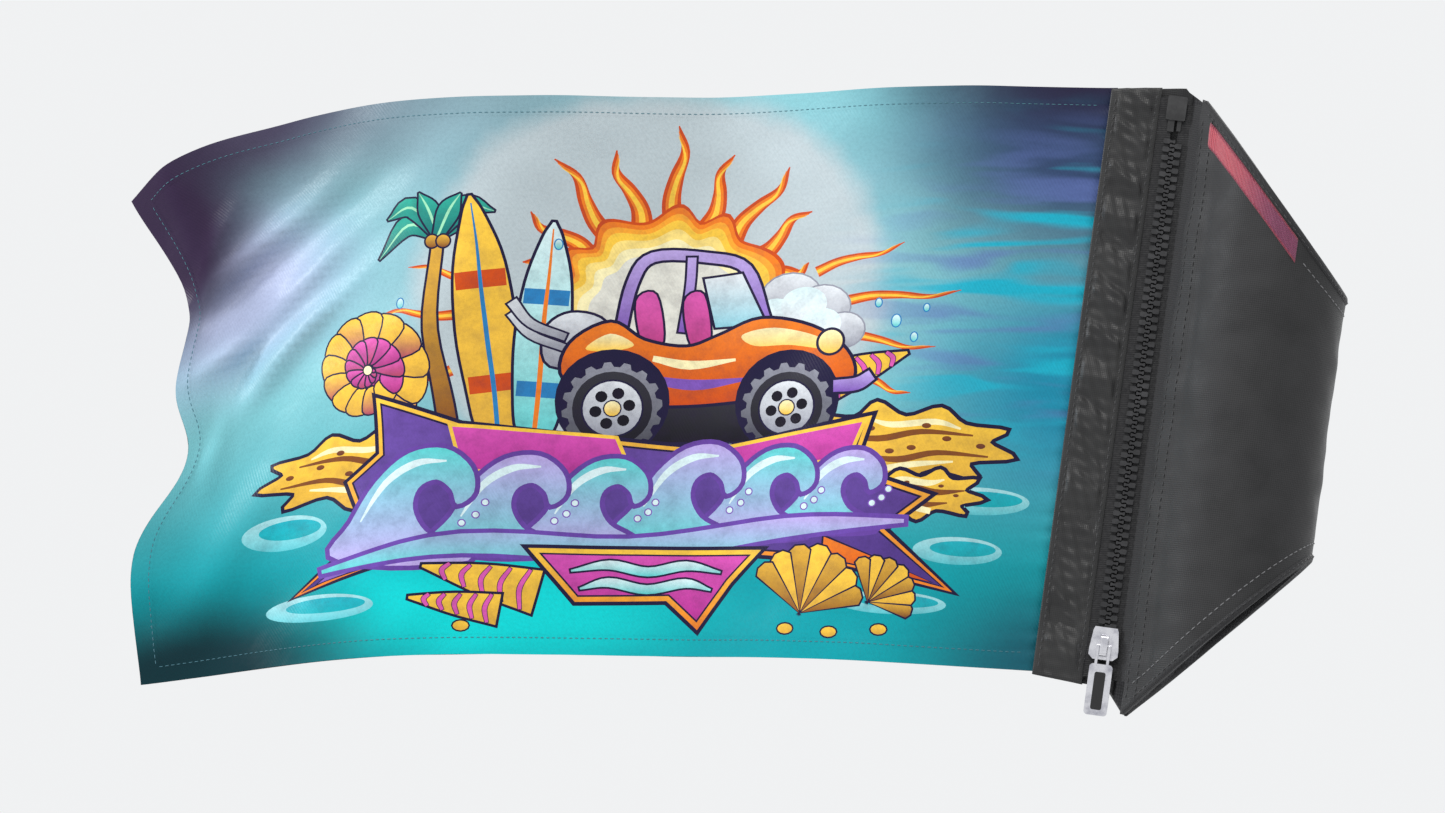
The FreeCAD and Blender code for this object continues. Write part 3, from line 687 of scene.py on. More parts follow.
def buggy(corner):
    """A fictional beach buggy with an open body, side on."""

    def at(points):
        return np.array(points, float) + corner

    stroke(at([(30, 50), (34, 74), (42, 86), (64, 86), (82, 80), (92, 56)]), [2.2] * 6, PURPLE, LILAC, 1.2)
    stroke(at([(56, 52), (58, 72), (58, 86)]), [1.8] * 3, PURPLE, LILAC, 1.0)
    ink(at([(70, 54), (64, 76), (80, 78), (92, 55)]), rgb(0.55, 0.80, 0.86), PALE, 1.1)
    for seat in (40, 60):
        cushion = at([(seat, 46), (seat - 4, 66), (seat + 4, 69), (seat + 8, 48)])
        ink(rounded(cushion), rgb(0.72, 0.24, 0.50), PINK, 1.0)
    ink(rounded(at([(2, 36), (0, 52), (10, 60), (24, 56), (28, 38)])), STEEL, PALE, 1.2)
    for pipe in (0, 5):
        stroke(at([(8, 44 + pipe), (-6, 50 + pipe), (-14, 60 + pipe)]), [1.6, 1.8, 2.2], STEEL, PALE, 0.9)
    ink(at([(20, 2), (26, 26), (108, 26), (112, 2)]), BLACK, TYRE, 1.0)
    body = [(8, 30), (10, 46), (26, 56), (40, 48), (58, 45), (72, 50), (90, 57),
            (112, 53), (128, 42), (132, 30), (122, 24), (100, 22), (60, 19), (30, 20)]
    ink(rounded(at(body)), DEEP_ORANGE, ORANGE, 1.5)
    ink(rounded(at([(82, 50), (96, 53), (114, 49), (124, 42), (104, 45), (88, 45)])), YELLOW, CREAM)
    ink(rounded(at([(16, 44), (26, 51), (36, 46), (26, 43)])), YELLOW, CREAM)
    stroke(at([(44, 40), (60, 37), (80, 39)]), [1.3, 2.0, 0.6], CREAM)
    stroke(at([(40, 31), (62, 28), (84, 30)]), [1.6, 2.4, 0.8], PURPLE)
    for x, radius in ((28, 24), (104, 23)):
        ink(ellipse(at((x, 20)), radius), NAVY)
        wheel(at((x, 17)), radius - 4)
    ink(ellipse(at((121, 46)), 5.2), YELLOW, CREAM, 1.2)
    stroke(at([(124, 26), (134, 27), (140, 31)]), [2.6, 2.8, 2.4], PURPLE, LILAC, 1.2)


def spray(center):
    """A puff of thrown sand and spray."""
    for off_x, off_y, radius in ((-16, 2, 11), (-4, 9, 13), (10, 4, 12), (20, -6, 9), (2, -6, 13)):
        ink(ellipse(np.add(center, (off_x, off_y)), radius, radius * 0.86, 20), STEEL, PALE, 0.7, STEEL)
    for off_x, off_y, radius in ((-10, 2, 9), (2, 6, 10), (10, -3, 9)):
        ink(ellipse(np.add(center, (off_x, off_y)), radius, radius * 0.8, 20), PALE, FOAM)


def reef_rock(center, flip, size):
    """A golden slab of reef rock with holes and cracks."""

    def at(points):
        return np.array(points, float) * (flip * size, size) + center

    outline = [(-50, -5), (-38, 2), (-45, 8), (-26, 10), (-14, 18), (2, 13), (16, 20), (26, 12), (44, 13),
               (36, 4), (51, -2), (34, -7), (38, -14), (16, -11), (2, -20), (-12, -12), (-34, -16), (-30, -8)]
    ink(rounded(at(outline), 4), GOLD, YELLOW, 1.7)
    for line in ([(-38, -5), (-14, -4), (4, -8), (24, -6)], [(-30, 5), (-6, 6), (14, 2), (36, 4)]):
        stroke(at(line), [0.4, 1.2, 1.4, 0.3], BROWN)
    for line in ([(-24, 8), (-12, 11), (8, 9), (20, 12)], [(-22, -8), (-4, -10), (12, -13)]):
        stroke(at(line), [0.4, 1.3, 1.3, 0.3][:len(line)], CREAM)
    for spot in ((-34, 0), (-18, 3), (-2, -2), (18, 7), (30, 0), (-8, 9), (8, -4)):
        ink(ellipse(at(spot), 2.2 * size, 1.3 * size, 12), rgb(0.42, 0.22, 0.14), BROWN)


def spiral_shell(center, size):
    """A coiled sea shell: ribbed gold outside, pink towards the middle."""
    ribs, coil = 30, 820
    parts = np.array([-0.1, -0.1, 0.4, 1.1, 1.1])
    ink(ellipse(center, size * 0.45), DEEP_PINK, PINK)
    for number in range(ribs):
        share = number / ribs
        reach, next_reach = (size * (1 - (number + step) / ribs) ** 0.8 for step in (0, 1))
        hollow = 0.50 if share < 0.5 else 0.3
        radii = (reach * hollow, reach * 0.97, reach * 1.05, next_reach * 0.98, next_reach * hollow)
        rib = polar(radii, np.radians(coil * (number + parts) / ribs - 62))
        low, high = (GOLD, YELLOW) if share < 0.45 else (DEEP_PINK, PINK)
        if number % 3 == 0:
            low = rgb(0.66, 0.26, 0.36)
        ink(rounded(rib + center, 3), low, high, 0.8)
    ink(ellipse(center, size * 0.07, count=12), CREAM, line=0.6)


def scallop(hinge, size, facing):
    """A fan shell that opens in a direction, in degrees."""
    ribs, spread = 7, 132
    for number in range(ribs):
        from_middle = number - (ribs - 1) / 2
        reach = size * (1 - 0.2 * abs(from_middle) / ribs)
        degrees = facing + spread / ribs * (from_middle + np.array([-0.5, -0.2, 0.2, 0.5]))
        arc = polar(reach * np.array([1.0, 1.07, 1.07, 1.0]), np.radians(degrees))
        low, high = (GOLD, YELLOW) if number % 2 else (BROWN, GOLD)
        ink(np.concatenate([[(0, 0)], arc]) + hinge, low, high, 0.8)


def cone_shell(base, tip, width):
    """A long pointed shell with rings."""
    base, tip = np.array([base, tip], float)
    stroke([base, (base + tip) / 2, tip], [width, width * 0.66, 0.5], GOLD, YELLOW, 1.2)
    run = tip - base
    for share in 0.1 + 0.17 * np.arange(5):
        middle = base + run * share
        half = left_of(unit(run)) * width * (1 - 0.8 * share)
        stroke([middle - half, middle + run * 0.05, middle + half], [0.7, 1.0, 0.7], PINK, line=0.3)


def foam(center, half_width, half_height):
    """A flat patch of foam on the water, with a darker pool in it."""
    ink(ellipse(center, half_width, half_height, 36), rgb(0.36, 0.76, 0.80), rgb(0.66, 0.86, 0.88))
    middle = np.add(center, (half_width * 0.12, half_height * 0.16))
    pool = ellipse(middle, half_width * 0.74, half_height * 0.56, 30)
    ink(pool, rgb(0.05, 0.66, 0.70), rgb(0.12, 0.68, 0.74))


def curling_wave(left, base, size, low, high):
    """One breaking wave crest: a generic curl, not a letter."""

    def at(points):
        return np.array(points) * size + (left, base)

    outline = [(0.0, 0.0), (0.20, 0.30), (0.42, 0.68), (0.72, 0.94), (1.06, 0.98), (1.30, 0.80),
               (1.34, 0.56), (1.20, 0.44), (1.14, 0.58), (1.00, 0.68), (0.84, 0.60), (0.80, 0.40),
               (0.92, 0.18), (1.16, 0.04), (1.30, -0.10), (0.6, -0.14)]
    ink(rounded(at(outline), 4), low, high, 2.2, rgb(0.40, 0.26, 0.62))
    stroke(at([(0.30, 0.30), (0.52, 0.66), (0.80, 0.84), (1.08, 0.86)]), [0.3, 1.5, 1.6, 0.4], FOAM)
    for drop in ((1.36, 0.34), (1.24, 0.26), (1.44, 0.46)):
        ink(ellipse(at(drop), 1.3, count=10), FOAM, line=0.5, line_color=PURPLE)


def banner():
    """Pointed ribbons with a run of curling waves in place of a title, and a small pennant below."""
    magenta = (rgb(0.72, 0.20, 0.58), rgb(0.84, 0.32, 0.70))
    star = [(74, 30), (110, 56), (98, 80), (112, 92), (108, 118), (148, 104), (205, 98), (258, 93),
            (324, 108), (318, 84), (352, 74), (334, 58), (366, 32), (306, 44), (262, 47), (178, 48),
            (116, 42)]
    ink(star, ORANGE, YELLOW, 1.8)
    ink(grown(star, -2.6), rgb(0.30, 0.20, 0.50), rgb(0.42, 0.30, 0.64), 0.9)
    for patch in ([(144, 103), (212, 98), (220, 80), (150, 84)],
                  [(252, 92), (320, 105), (315, 90), (262, 82)]):
        ink(patch, *magenta, 1.6, YELLOW)
    ink([(86, 35), (118, 56), (118, 43)], PURPLE, LILAC, 0.9)
    ink([(308, 54), (356, 36), (308, 45)], DEEP_ORANGE, ORANGE, 0.9)
    sizes = (47, 41, 37, 41, 36, 32)
    for number in reversed(range(len(sizes))):
        tints = (AQUA, LILAC) if number % 2 else (LILAC, AQUA)
        curling_wave(92 + 0.97 * sum(sizes[:number]), 47 + number * 2.8, sizes[number], *tints)
    swash = [(88, 40), (150, 50), (220, 48), (290, 58), (342, 62)]
    stroke(swash, [0.8, 4.4, 5.0, 4.2, 0.8], AQUA, LILAC, 2.0, rgb(0.42, 0.28, 0.66))
    pennant = [(178, 48), (280, 48), (267, 33), (253, 12), (238, 25), (198, 24)]
    ink(pennant, ORANGE, YELLOW, 1.8)
    ink(grown(pennant, -3.0), *magenta, 0.8)
    for row in (0, 1):
        xs = [196 + 4 * row, 212, 229, 246, 262 - 4 * row]
        ripple = [(x, 39 - 8 * row + (2 if number % 2 else -1)) for number, x in enumerate(xs)]
        stroke(ripple, [0.4, 2.0, 2.0, 2.0, 0.4], AQUA, FOAM, 0.9)


def draw_picture():
    """The whole print, from back to front."""
    sun((232, 151))
    for x, y, *size in ((70, 60, 20, 8), (86, 24, 26, 6), (372, 72, 22, 6), (366, 50, 19, 6),
                        (340, 26, 24, 5)):
        foam((x, y), *size)
    palm((142, 104), (136, 190))
    surfboard((164, 96), (150, 208), 12.5, GOLD, YELLOW, BLUE, DEEP_ORANGE)
    surfboard((178, 96), (184, 196), 11.0, AQUA, FOAM, ORANGE, BLUE)
    spray((288, 152))
    reef_rock((100, 86), 1, 0.92)
    reef_rock((340, 96), -1, 0.90)
    reef_rock((346, 74), 1, 0.56)
    spiral_shell((104, 131), 29)
    cone_shell((302, 122), (336, 136), 9)
    buggy((182, 95))
    banner()
    cone_shell((182, 28), (134, 40), 10)
    cone_shell((166, 20), (128, 26), 7)
    scallop((300, 20), 29, 76)
    scallop((330, 26), 20, 46)
    for pebble in ((150, 13), (294, 13), (336, 14), (314, 12)):
        ink(ellipse(pebble, 3.4, 2.2, 12), GOLD, YELLOW, 0.7)
    for x, y, size in ((330, 150, 2.2), (338, 143, 1.6), (322, 158, 1.5), (186, 186, 1.8), (120, 160, 1.8),
                       (342, 156, 1.3)):
        ink(ellipse((x, y), size * 0.8, size * 1.2, 12), AQUA, FOAM, 0.5, BLUE)


def inside(points, outline):
    """Which points lie in an outline, by counting crossings."""
    x, y = points[:, 0, None], points[:, 1, None]
    (x0, y0), (x1, y1) = outline.T, np.roll(outline, -1, 0).T
    spans = (y0 > y) != (y1 > y)
    rise = np.where(y1 == y0, 1e-9, y1 - y0)
    return (np.sum(spans & (x < (x1 - x0) * (y - y0) / rise + x0), axis=1) % 2).astype(bool)


def dense(points, closed, step=4.0):
    """The same line with its long sides split."""
    points = np.asarray(points, float)
    if closed:
        points = np.concatenate([points, points[:1]])
    line = []
    for start, stop in zip(points, points[1:]):
        parts = max(1, math.ceil(np.linalg.norm(stop - start) / step))
        line += [start + (stop - start) * part / parts for part in range(parts)]
    return line if closed else line + [points[-1]]


def planar_map():
    """Triangles of the flat print that follow every ink outline, the hem lines and a fine grid."""
    verts, edges = [], []

    def add_line(points, closed=True):
        start = len(verts)
        points = dense(points, closed)
        verts.extend(Vector(point) for point in points)
        last = len(points) if closed else len(points) - 1
        edges.extend((start + k, start + (k + 1) % len(points)) for k in range(last))

    right = ART_WIDTH + HEADER_TUCK
    add_line([(0, 0), (right, 0), (right, ART_HEIGHT), (0, ART_HEIGHT)])
    for inset in HEM_STEP:
        top = ART_HEIGHT - inset
        add_line([(right, inset), (inset, inset), (inset, top), (right, top)], closed=False)
    margin, spacing = 0.6, 3.6
    for outline, _, _ in picture:
        add_line(np.clip(outline, margin, (ART_WIDTH - margin, ART_HEIGHT - margin)))
    columns, rows = (np.linspace(0, size, int(size / spacing) + 1) for size in (right, ART_HEIGHT))
    verts.extend(Vector((column, row)) for row in rows for column in columns)
    found = delaunay_2d_cdt(verts, edges, [], 0, 1e-4)
    return np.array([tuple(vert) for vert in found[0]]), np.array([tuple(face) for face in found[2]])


def ink_colors(points, triangles):
    """Colour and cover of the ink at each corner of each triangle."""
    middle = points[triangles].mean(axis=1)
    colors = np.zeros((len(triangles), 3, 4), np.float32)
    open_ones = np.arange(len(triangles))
    for outline, low, high in reversed(picture):
        below, above = outline.min(axis=0), outline.max(axis=0)
        near = np.all((middle[open_ones] > below) & (middle[open_ones] < above), axis=1)
        candidates = open_ones[near]
        if not len(candidates):
            continue
        hit = candidates[inside(middle[candidates], outline)]
        height = points[triangles[hit], 1]
        share = np.clip((height - below[1]) / (above[1] - below[1]), 0, 1)[..., None]
        colors[hit, :, :3] = np.array(low) * (1 - share) + np.array(high) * share
        colors[hit, :, 3] = 1
        open_ones = np.setdiff1d(open_ones, hit, assume_unique=True)
    return colors


def flag_cloth(material):
    """The printed cloth: one closed thin mesh whose triangles follow the print on both faces."""
    draw_picture()
    points, triangles = planar_map()
    first, second, third = np.moveaxis(points[triangles], 1, 0)
    leftward = np.sum(left_of(second - first) * (third - first), axis=1) > 0
    triangles = np.where(leftward[:, None], triangles, triangles[:, ::-1])
    border = {}
    for face in triangles.tolist():
        for start, stop in zip(face, face[1:] + face[:1]):
            if border.pop((stop, start), None) is None:
                border[(start, stop)] = True
    count = len(points)
    rim = [(stop, start, start + count, stop + count) for start, stop in border]

    a, b = points.T
    middle, normal = flag_point(a, b), flag_normal(a, b)
    half = (CLOTH_HALF + HEM_EXTRA * hem_share(a, b))[:, None]
    verts = np.concatenate([middle + normal * half, middle - normal * half]) * MM
    faces = triangles.tolist() + (triangles[:, ::-1] + count).tolist() + rim
    made = set_flat(add_object("flag_print", verts, faces, material), np.concatenate([points, points]) * MM)
    front = ink_colors(points, triangles)
    corner_colors = (front, front[:, ::-1], np.zeros((len(rim), 4, 4), np.float32))
    layer = made.data.color_attributes.new("ink", "FLOAT_COLOR", "CORNER")
    layer.data.foreach_set("color", np.concatenate([colors.ravel() for colors in corner_colors]))
    made.data.normals_split_custom_set_from_vertices(np.concatenate([normal, -normal]).tolist())
    return made


def bend_at_hoist(piece):
    """Bake a piece's placement into its mesh, for pieces at the flag's hoist."""
    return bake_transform(piece)


def hem_stitches(material):
    """Stitch rows along the three hems, on both faces."""
    inset = HEM_WIDTH - 1.4
    across = np.linspace(inset, ART_WIDTH - 3, 260)
    upward = np.linspace(inset, ART_HEIGHT - inset, 160)
    lines = [(across, np.full_like(across, inset)), (across, np.full_like(across, ART_HEIGHT - inset)),
             (np.full_like(upward, inset), upward)]
    made = []
    for number, (a, b) in enumerate(lines):
        middle, normal = flag_point(a, b), flag_normal(a, b)
        for side, face in ((1, "near"), (-1, "far")):
            name = f"flag_hem_stitches_{number}_{face}"
            surface = middle + normal * side * (CLOTH_HALF + HEM_EXTRA)
            made.append(bend_at_hoist(stitches(name, surface, normal * side, material, 2.6, 0.66, 0.17)))
    return made


# ---- header strip ----
def header_top(across):
    """Height of the header's level top edge, along the bar."""
    return (HEADER_TOP_LEVEL - across * ACROSS[2]) / ALONG[2]


def header_ply(name, face, depth_outer, depth_inner, material):
    """One ply of the header: puckered between its two seams, rolled at its edges."""
    share_up, share = np.meshgrid(np.linspace(0, 1, 420), np.linspace(0, 1, 44), indexing="ij")
    width = HEADER_RIGHT - HEADER_LEFT
    across = HEADER_LEFT + width * share
    low, high = HEADER_BOTTOM - HEADER_DROP * share, header_top(across)
    along = low + (high - low) * share_up
    from_left, from_right = share * width, (1 - share) * width
    # Flat beside the two seams, slanting folds between them, edges rolled under.
    between_seams = smoothstep(2.6, 5.0, from_left) * smoothstep(2.0, 4.6, from_right)
    slanted = along + across * 0.55 * face
    fold = ripples(slanted, across * 0.4, 14 + face, (9, 26), 9) + 0.4 * ripples(slanted, across, 17, (4, 9))
    rolled_sides = np.exp(-np.minimum(from_left, from_right) / 0.5)
    rolled_ends = np.exp(-np.minimum(along - low, high - along) / 0.6)
    puff = between_seams * (0.5 + 0.8 * fold) - 0.5 * np.clip(rolled_sides + rolled_ends, 0, 1)
    outer = place(across, depth_outer + math.copysign(1, depth_outer - depth_inner) * puff, along)
    return shell(name, outer, place(across, depth_inner, along), np.stack([across, along], -1), material)


def header_stitches(name, across, depth, lift, material):
    """A row of stitches up the header."""
    along = np.linspace(HEADER_BOTTOM + 2, header_top(across) - 2, 200)
    lifts = np.tile(DEPTH * lift, (len(along), 1))
    return stitches(name, place(across, depth, along) / MM, lifts, material, 3.4, 0.66, 0.3)


# ---- sleeve ----
CLOTH_INSET = 0.7                      # from the sleeve's outline to the cut edge inside its binding
TOPSTITCH_INSET, TAPE_STITCH_INSET = 8.0, 2.4
LABEL_WIDTH, LABEL_LENGTH, LABEL_INSET = 7.0, 63.0, 6.9
LABEL_START = PANEL_EDGE + 5.5
LABEL_STOP = LABEL_START + LABEL_LENGTH / math.hypot(1, EDGE_SLOPE)


def section_path(radius, near_stop, far_start=None):
    """Section of the wrap: from the header's tail or from far_start, round the back, to near_stop.

    Returns evenly spaced (across, depth) points, the outward directions and the lengths run.
    """
    apex = radius / math.cos(TANGENT)
    if far_start is None:
        start = [(-75.0, FAR_TAIL_DEPTH), (apex + FAR_TAIL_DEPTH, FAR_TAIL_DEPTH)]
    else:
        start = [(far_start, far_start - apex)]
    round_back = polar(radius, np.linspace(TANGENT, -TANGENT, 90))
    points = np.concatenate([start, round_back, [(near_stop, apex - near_stop)]])
    length = running_length(points)
    places = np.linspace(0, length[-1], int(length[-1] / 1.7) + 1)
    path = read(places, length, points)
    for _ in range(2):
        path[1:-1] = (path[:-2] + 2 * path[1:-1] + path[2:]) / 4
    return path, left_of(unit(np.gradient(path, axis=0))), places


def sleeve_limits(across):
    """Lower and upper end of the sleeve along the bar, at a place across."""
    knots = [HEADER_LEFT, TAIL_END, PANEL_EDGE, SHELL_RADIUS]
    upper = [header_top(HEADER_LEFT), header_top(TAIL_END), ZIP_HALF, BACK_HALF]
    lower = [HEADER_BOTTOM, HEADER_BOTTOM - HEADER_DROP, -ZIP_HALF, -BACK_HALF]
    return np.interp(across, knots, lower), np.interp(across, knots, upper)


def bend_round_back(piece):
    """Bake a piece's placement into its mesh, for pieces at the fold behind the bar, between the far panel
    and the near flap.
    """
    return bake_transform(piece)


def sleeve_shell(name, thickness, path_data, material, wrinkles):
    """A layer of the sleeve as one closed sheet that runs round the bar."""
    path, outward_2d, places = path_data
    lower, upper = sleeve_limits(path[:, 0])
    slope = EDGE_SLOPE * np.abs(np.gradient(path[:, 0], places))
    trim = CLOTH_INSET * np.hypot(1, slope) * (path[:, 0] > TAIL_END)
    share = np.linspace(0, 1, 170)[:, None]
    along = (lower + trim) + ((upper - trim) - (lower + trim)) * share
    around = np.broadcast_to(places, along.shape)
    bulge, half = wrinkles(path_data, around, along)
    layers = []
    for side in (1, -1):
        lift = bulge + side * half * thickness / 2
        across, depth = (path[:, k] + outward_2d[:, k] * lift for k in (0, 1))
        layers.append(place(across, depth, along))
    return bend_round_back(shell(name, *layers, np.stack([around, along], -1), material))


def panel_wrinkles(path_data, around, along):
    """Soft creases of the outer fabric: pulls from the zipper, the folded free edge, faint ripples."""
    path, _, places = path_data
    # From the free edge: a hem 10 mm wide, a crease beside it, and pulls that fade further in.
    from_free_edge = places[-1] - around
    lower, upper = sleeve_limits(np.interp(around, places, path[:, 0]))
    hem = 1 - smoothstep(9.4, 10.4, from_free_edge)
    pulls = np.sin(along * 0.21 + 1.2 * np.sin(along * 0.05)) * np.exp(-from_free_edge / 22)
    crease = -0.5 * np.exp(-((from_free_edge - 13) / 2.2) ** 2) * (0.6 + 0.4 * np.sin(along * 0.045))
    soft = 0.30 * ripples(around * 0.7, along, 21, (30, 90)) + 0.1 * ripples(around, along, 22, (9, 22))
    calm = smoothstep(3, 14, np.minimum(along - lower, upper - along)) * smoothstep(30, 46, around)
    bulge = (0.32 * pulls + crease + soft) * calm + 0.22 * hem
    half = 1.0 + 0.45 * hem - 0.55 * np.exp(-from_free_edge / 0.8)
    return bulge, half


def sleeve_point(path_data, around, along, lift):
    """Points in mm a little above the creased outer fabric, and the directions out of it."""
    path, outward_2d, places = path_data
    section = read(around, places, np.hstack([path, outward_2d]))
    across, depth, out_across, out_depth = np.moveaxis(section, -1, 0)
    bulge, half = panel_wrinkles(path_data, around, along)
    lift = lift + bulge + half * SHELL / 2
    points = place(across + out_across * lift, depth + out_depth * lift, along) / MM
    return points, out_across[..., None] * ACROSS + out_depth[..., None] * DEPTH


def lining_wrinkles(_, around, along):
    """The lining only ripples faintly."""
    return 0.1 * ripples(around, along, 31, (10, 30)), np.full_like(around, 0.9)


def edge_strip(name, path_data, side, material):
    """Tape bound over the upper (side 1) or lower (side -1) slanted edge, from near to far panel."""
    keep = path_data[0][:, 0] > PANEL_EDGE + 0.3
    path, outward_2d, places = (part[keep] for part in path_data)
    edge = sleeve_limits(path[:, 0])[1]
    stretch = np.hypot(1, EDGE_SLOPE * np.gradient(path[:, 0], places))[:, None]
    # Cross-section: distance in from the edge, distance out of the cloth's middle.
    wide = 3.2
    inward, out = np.transpose([
        (wide, 0.86), (wide - 0.25, 1.22), (wide / 2, 1.45), (0.4, 1.25), (0.0, 0.5),
        (0.0, -0.9), (0.4, -1.5), (wide / 2, -1.75), (wide - 0.2, -1.7), (wide, -1.5)])
    lift = out + 0.05 * ripples(places[:, None], inward[None, :] * 8, 41, (4, 11))
    across, depth = (path[:, k, None] + outward_2d[:, k, None] * lift for k in (0, 1))
    along = side * (edge[:, None] - inward * stretch)
    verts = place(across, depth, along).reshape(-1, 3)
    made = outward(add_object(name, verts, tube_faces(*lift.shape), material, 60))
    run = np.cumsum(np.hypot(np.gradient(places), np.gradient(edge)))[:, None]
    set_flat(made, np.stack(np.broadcast_arrays(run, inward), -1).reshape(-1, 2) * MM)
    return bend_round_back(made)


def edge_seam(name, path_data, inset, side, lift, material):
    """Stitches a fixed distance in from a slanted edge. The upper row stops where the label starts."""
    path, _, places = path_data
    keep = path[:, 0] > PANEL_EDGE + 1.5
    if side > 0 and inset > LABEL_INSET - LABEL_WIDTH / 2:
        keep &= (path[:, 0] > LABEL_STOP + 1) | (places < places[-1] / 2)
    stretch = np.hypot(1, EDGE_SLOPE * np.gradient(path[:, 0], places)[keep])
    along = side * (sleeve_limits(path[keep, 0])[1] - inset * stretch)
    line = stitches(name, *sleeve_point(path_data, places[keep], along, lift), material, 3.2, 0.68, 0.24)
    return bend_round_back(line)


def free_edge_seam(name, path_data, from_edge, material):
    """A row of stitches beside the near panel's free edge."""
    along = np.linspace(6 - ZIP_HALF, ZIP_HALF - 6, 200)
    around = np.full_like(along, path_data[2][-1] - from_edge)
    return stitches(name, *sleeve_point(path_data, around, along, 0.0), material, 3.4, 0.66, 0.26)


def label_grid(path_data):
    """Grid over the label: places round and along the sleeve, share across it and length along it."""
    path, _, places = path_data
    near = places > places[-1] / 2
    line = np.linspace(LABEL_START, LABEL_STOP, 90)
    around = np.interp(line, path[near, 0][::-1], places[near][::-1])
    share = np.linspace(-1, 1, 13)[:, None]
    lean = math.hypot(1, EDGE_SLOPE)
    along = sleeve_limits(line)[1] - (LABEL_INSET - LABEL_WIDTH / 2 * share) * lean
    return np.broadcast_to(around, along.shape), along, share, (line - LABEL_START) * lean


def label_piece(path_data, material):
    """Woven label along the near panel's upper slanted edge, with its ends folded under."""
    around, along, share, run = label_grid(path_data)
    to_end = np.minimum(run, LABEL_LENGTH - run)
    # Double where its ends are folded under, a little lower at its long edges.
    lift = 0.42 + 0.3 * (1 - smoothstep(3.4, 4.0, to_end)) - 0.25 * np.exp(-to_end / 0.6)
    lift = lift - 0.2 * smoothstep(0.86, 1.0, np.abs(share)) + 0.06 * np.sin(run * 0.7 + share * 2)
    layers = [sleeve_point(path_data, around, along, lift + extra)[0] * MM for extra in (0.0, -0.5)]
    flat = np.stack(np.broadcast_arrays(LABEL_LENGTH - run, share * LABEL_WIDTH / 2), -1)
    return shell("label_ribbon", *layers, flat, material, 40)


def label_seam(path_data, material):
    """Stitches along the label, just inside its long edges."""
    around, along, _, _ = label_grid(path_data)
    made = []
    for row, word in ((1, "inner"), (-2, "outer")):
        points, lifts = sleeve_point(path_data, around[row], along[row], 0.36)
        made.append(stitches(f"label_seam_{word}", points, lifts, material, 2.4, 0.62, 0.16))
    return made


def add_label(path_data):
    """The woven label and the stitches along it."""
    label_thread = thread("label_thread", (rgb(0.50, 0.14, 0.26), rgb(0.68, 0.24, 0.34)))
    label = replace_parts(label_piece(path_data, woven_label_material()), "label_strip")
    pieces = [label, *label_seam(path_data, label_thread)]
    return [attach(piece, "flap") for piece in pieces]


def add_sleeve(fabric_material, lining_material, binding_material, light_thread, dark_thread):
    """Outer fabric, lining, bindings, label and topstitching of the wrap."""
    outer_path = section_path(SHELL_RADIUS - SHELL / 2, PANEL_EDGE)
    lining_path = section_path(BAR_RADIUS + LINING / 2, -28.0, -42.0)
    outer = sleeve_shell("sleeve_cloth", SHELL, outer_path, fabric_material, panel_wrinkles)
    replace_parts(outer, "far_panel", "near_panel")
    inner = sleeve_shell("sleeve_lining", LINING, lining_path, lining_material, lining_wrinkles)
    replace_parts(inner, "far_lining", "near_lining")
    on_it = []
    for side, word in ((1, "upper"), (-1, "lower")):
        tape = edge_strip(f"edge_binding_{word}", outer_path, side, binding_material)
        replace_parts(tape, f"near_binding_{word}", f"far_binding_{word}")
        top_row = edge_seam(f"topstitch_{word}", outer_path, TOPSTITCH_INSET, side, 0.0, light_thread)
        tape_row = edge_seam(f"binding_stitch_{word}", outer_path, TAPE_STITCH_INSET, side, 0.62, dark_thread)
        on_it += [piece for piece in (tape, top_row, tape_row)]
    for number, from_edge in enumerate((2.6, 8.4)):
        row = free_edge_seam(f"free_edge_seam_{number}", outer_path, from_edge, dark_thread)
        on_it.append(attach(row, "flap"))
    on_it += add_label(outer_path)


# ---- zipper hardware kept from the CAD model ----
def dress(node, material, bevel):
    """Give a CAD node its material, and soft edges where it is moulded or cast."""
    part = frame["nodes"][node]
    part.data.materials.clear()
    part.data.materials.append(material)
    if bevel:
        edges = part.modifiers.new("soft_edges", "BEVEL")
        edges.width, edges.segments, edges.limit_method = bevel * MM, 2, "ANGLE"
        edges.angle_limit = math.radians(35)
        edges.harden_normals = False


# ---- stage ----
def add_stage():
    """Pale floor far below, bright even surroundings and soft studio lights."""
    paint = Paint("floor_paint")
    tones = rgb(0.90, 0.90, 0.90), rgb(0.93, 0.93, 0.93)
    size, drop = 30.0, -2.6
    corners = [(-size, -size, drop), (size, -size, drop), (size, size, drop), (-size, size, drop)]
    floor_material = paint.finish(paint.mix(paint.noise(0.8), *tones), 0.7)
    add_object("floor", corners, [(0, 1, 2, 3)], floor_material)
    world = bpy.data.worlds.new("studio")
    world.use_nodes = True
    color, strength = world.node_tree.nodes["Background"].inputs[:2]
    color.default_value = (0.95, 0.96, 0.97, 1)
    strength.default_value = 0.92
    scene.world = world
    scene.view_settings.view_transform = "Standard"
    for name, spot, size, power, color in (
        ("key", (-0.4, -2.0, 2.0), 0.8, 30, (1.0, 0.98, 0.95)),
        ("rim", (-2.2, -0.5, 0.9), 0.6, 24, (0.95, 0.97, 1.0)),
        ("back", (0.6, 2.4, 1.2), 1.4, 30, (1.0, 1.0, 1.0)),
    ):
        data = bpy.data.lights.new(name, "AREA")
        data.size, data.energy, data.color = size, power, color
        lamp = bpy.data.objects.new(name, data)
        lamp.location = spot
        lamp.rotation_euler = (Vector((-0.2, 0, 0)) - Vector(spot)).to_track_quat("-Z", "Y").to_euler()
        scene.collection.objects.link(lamp)


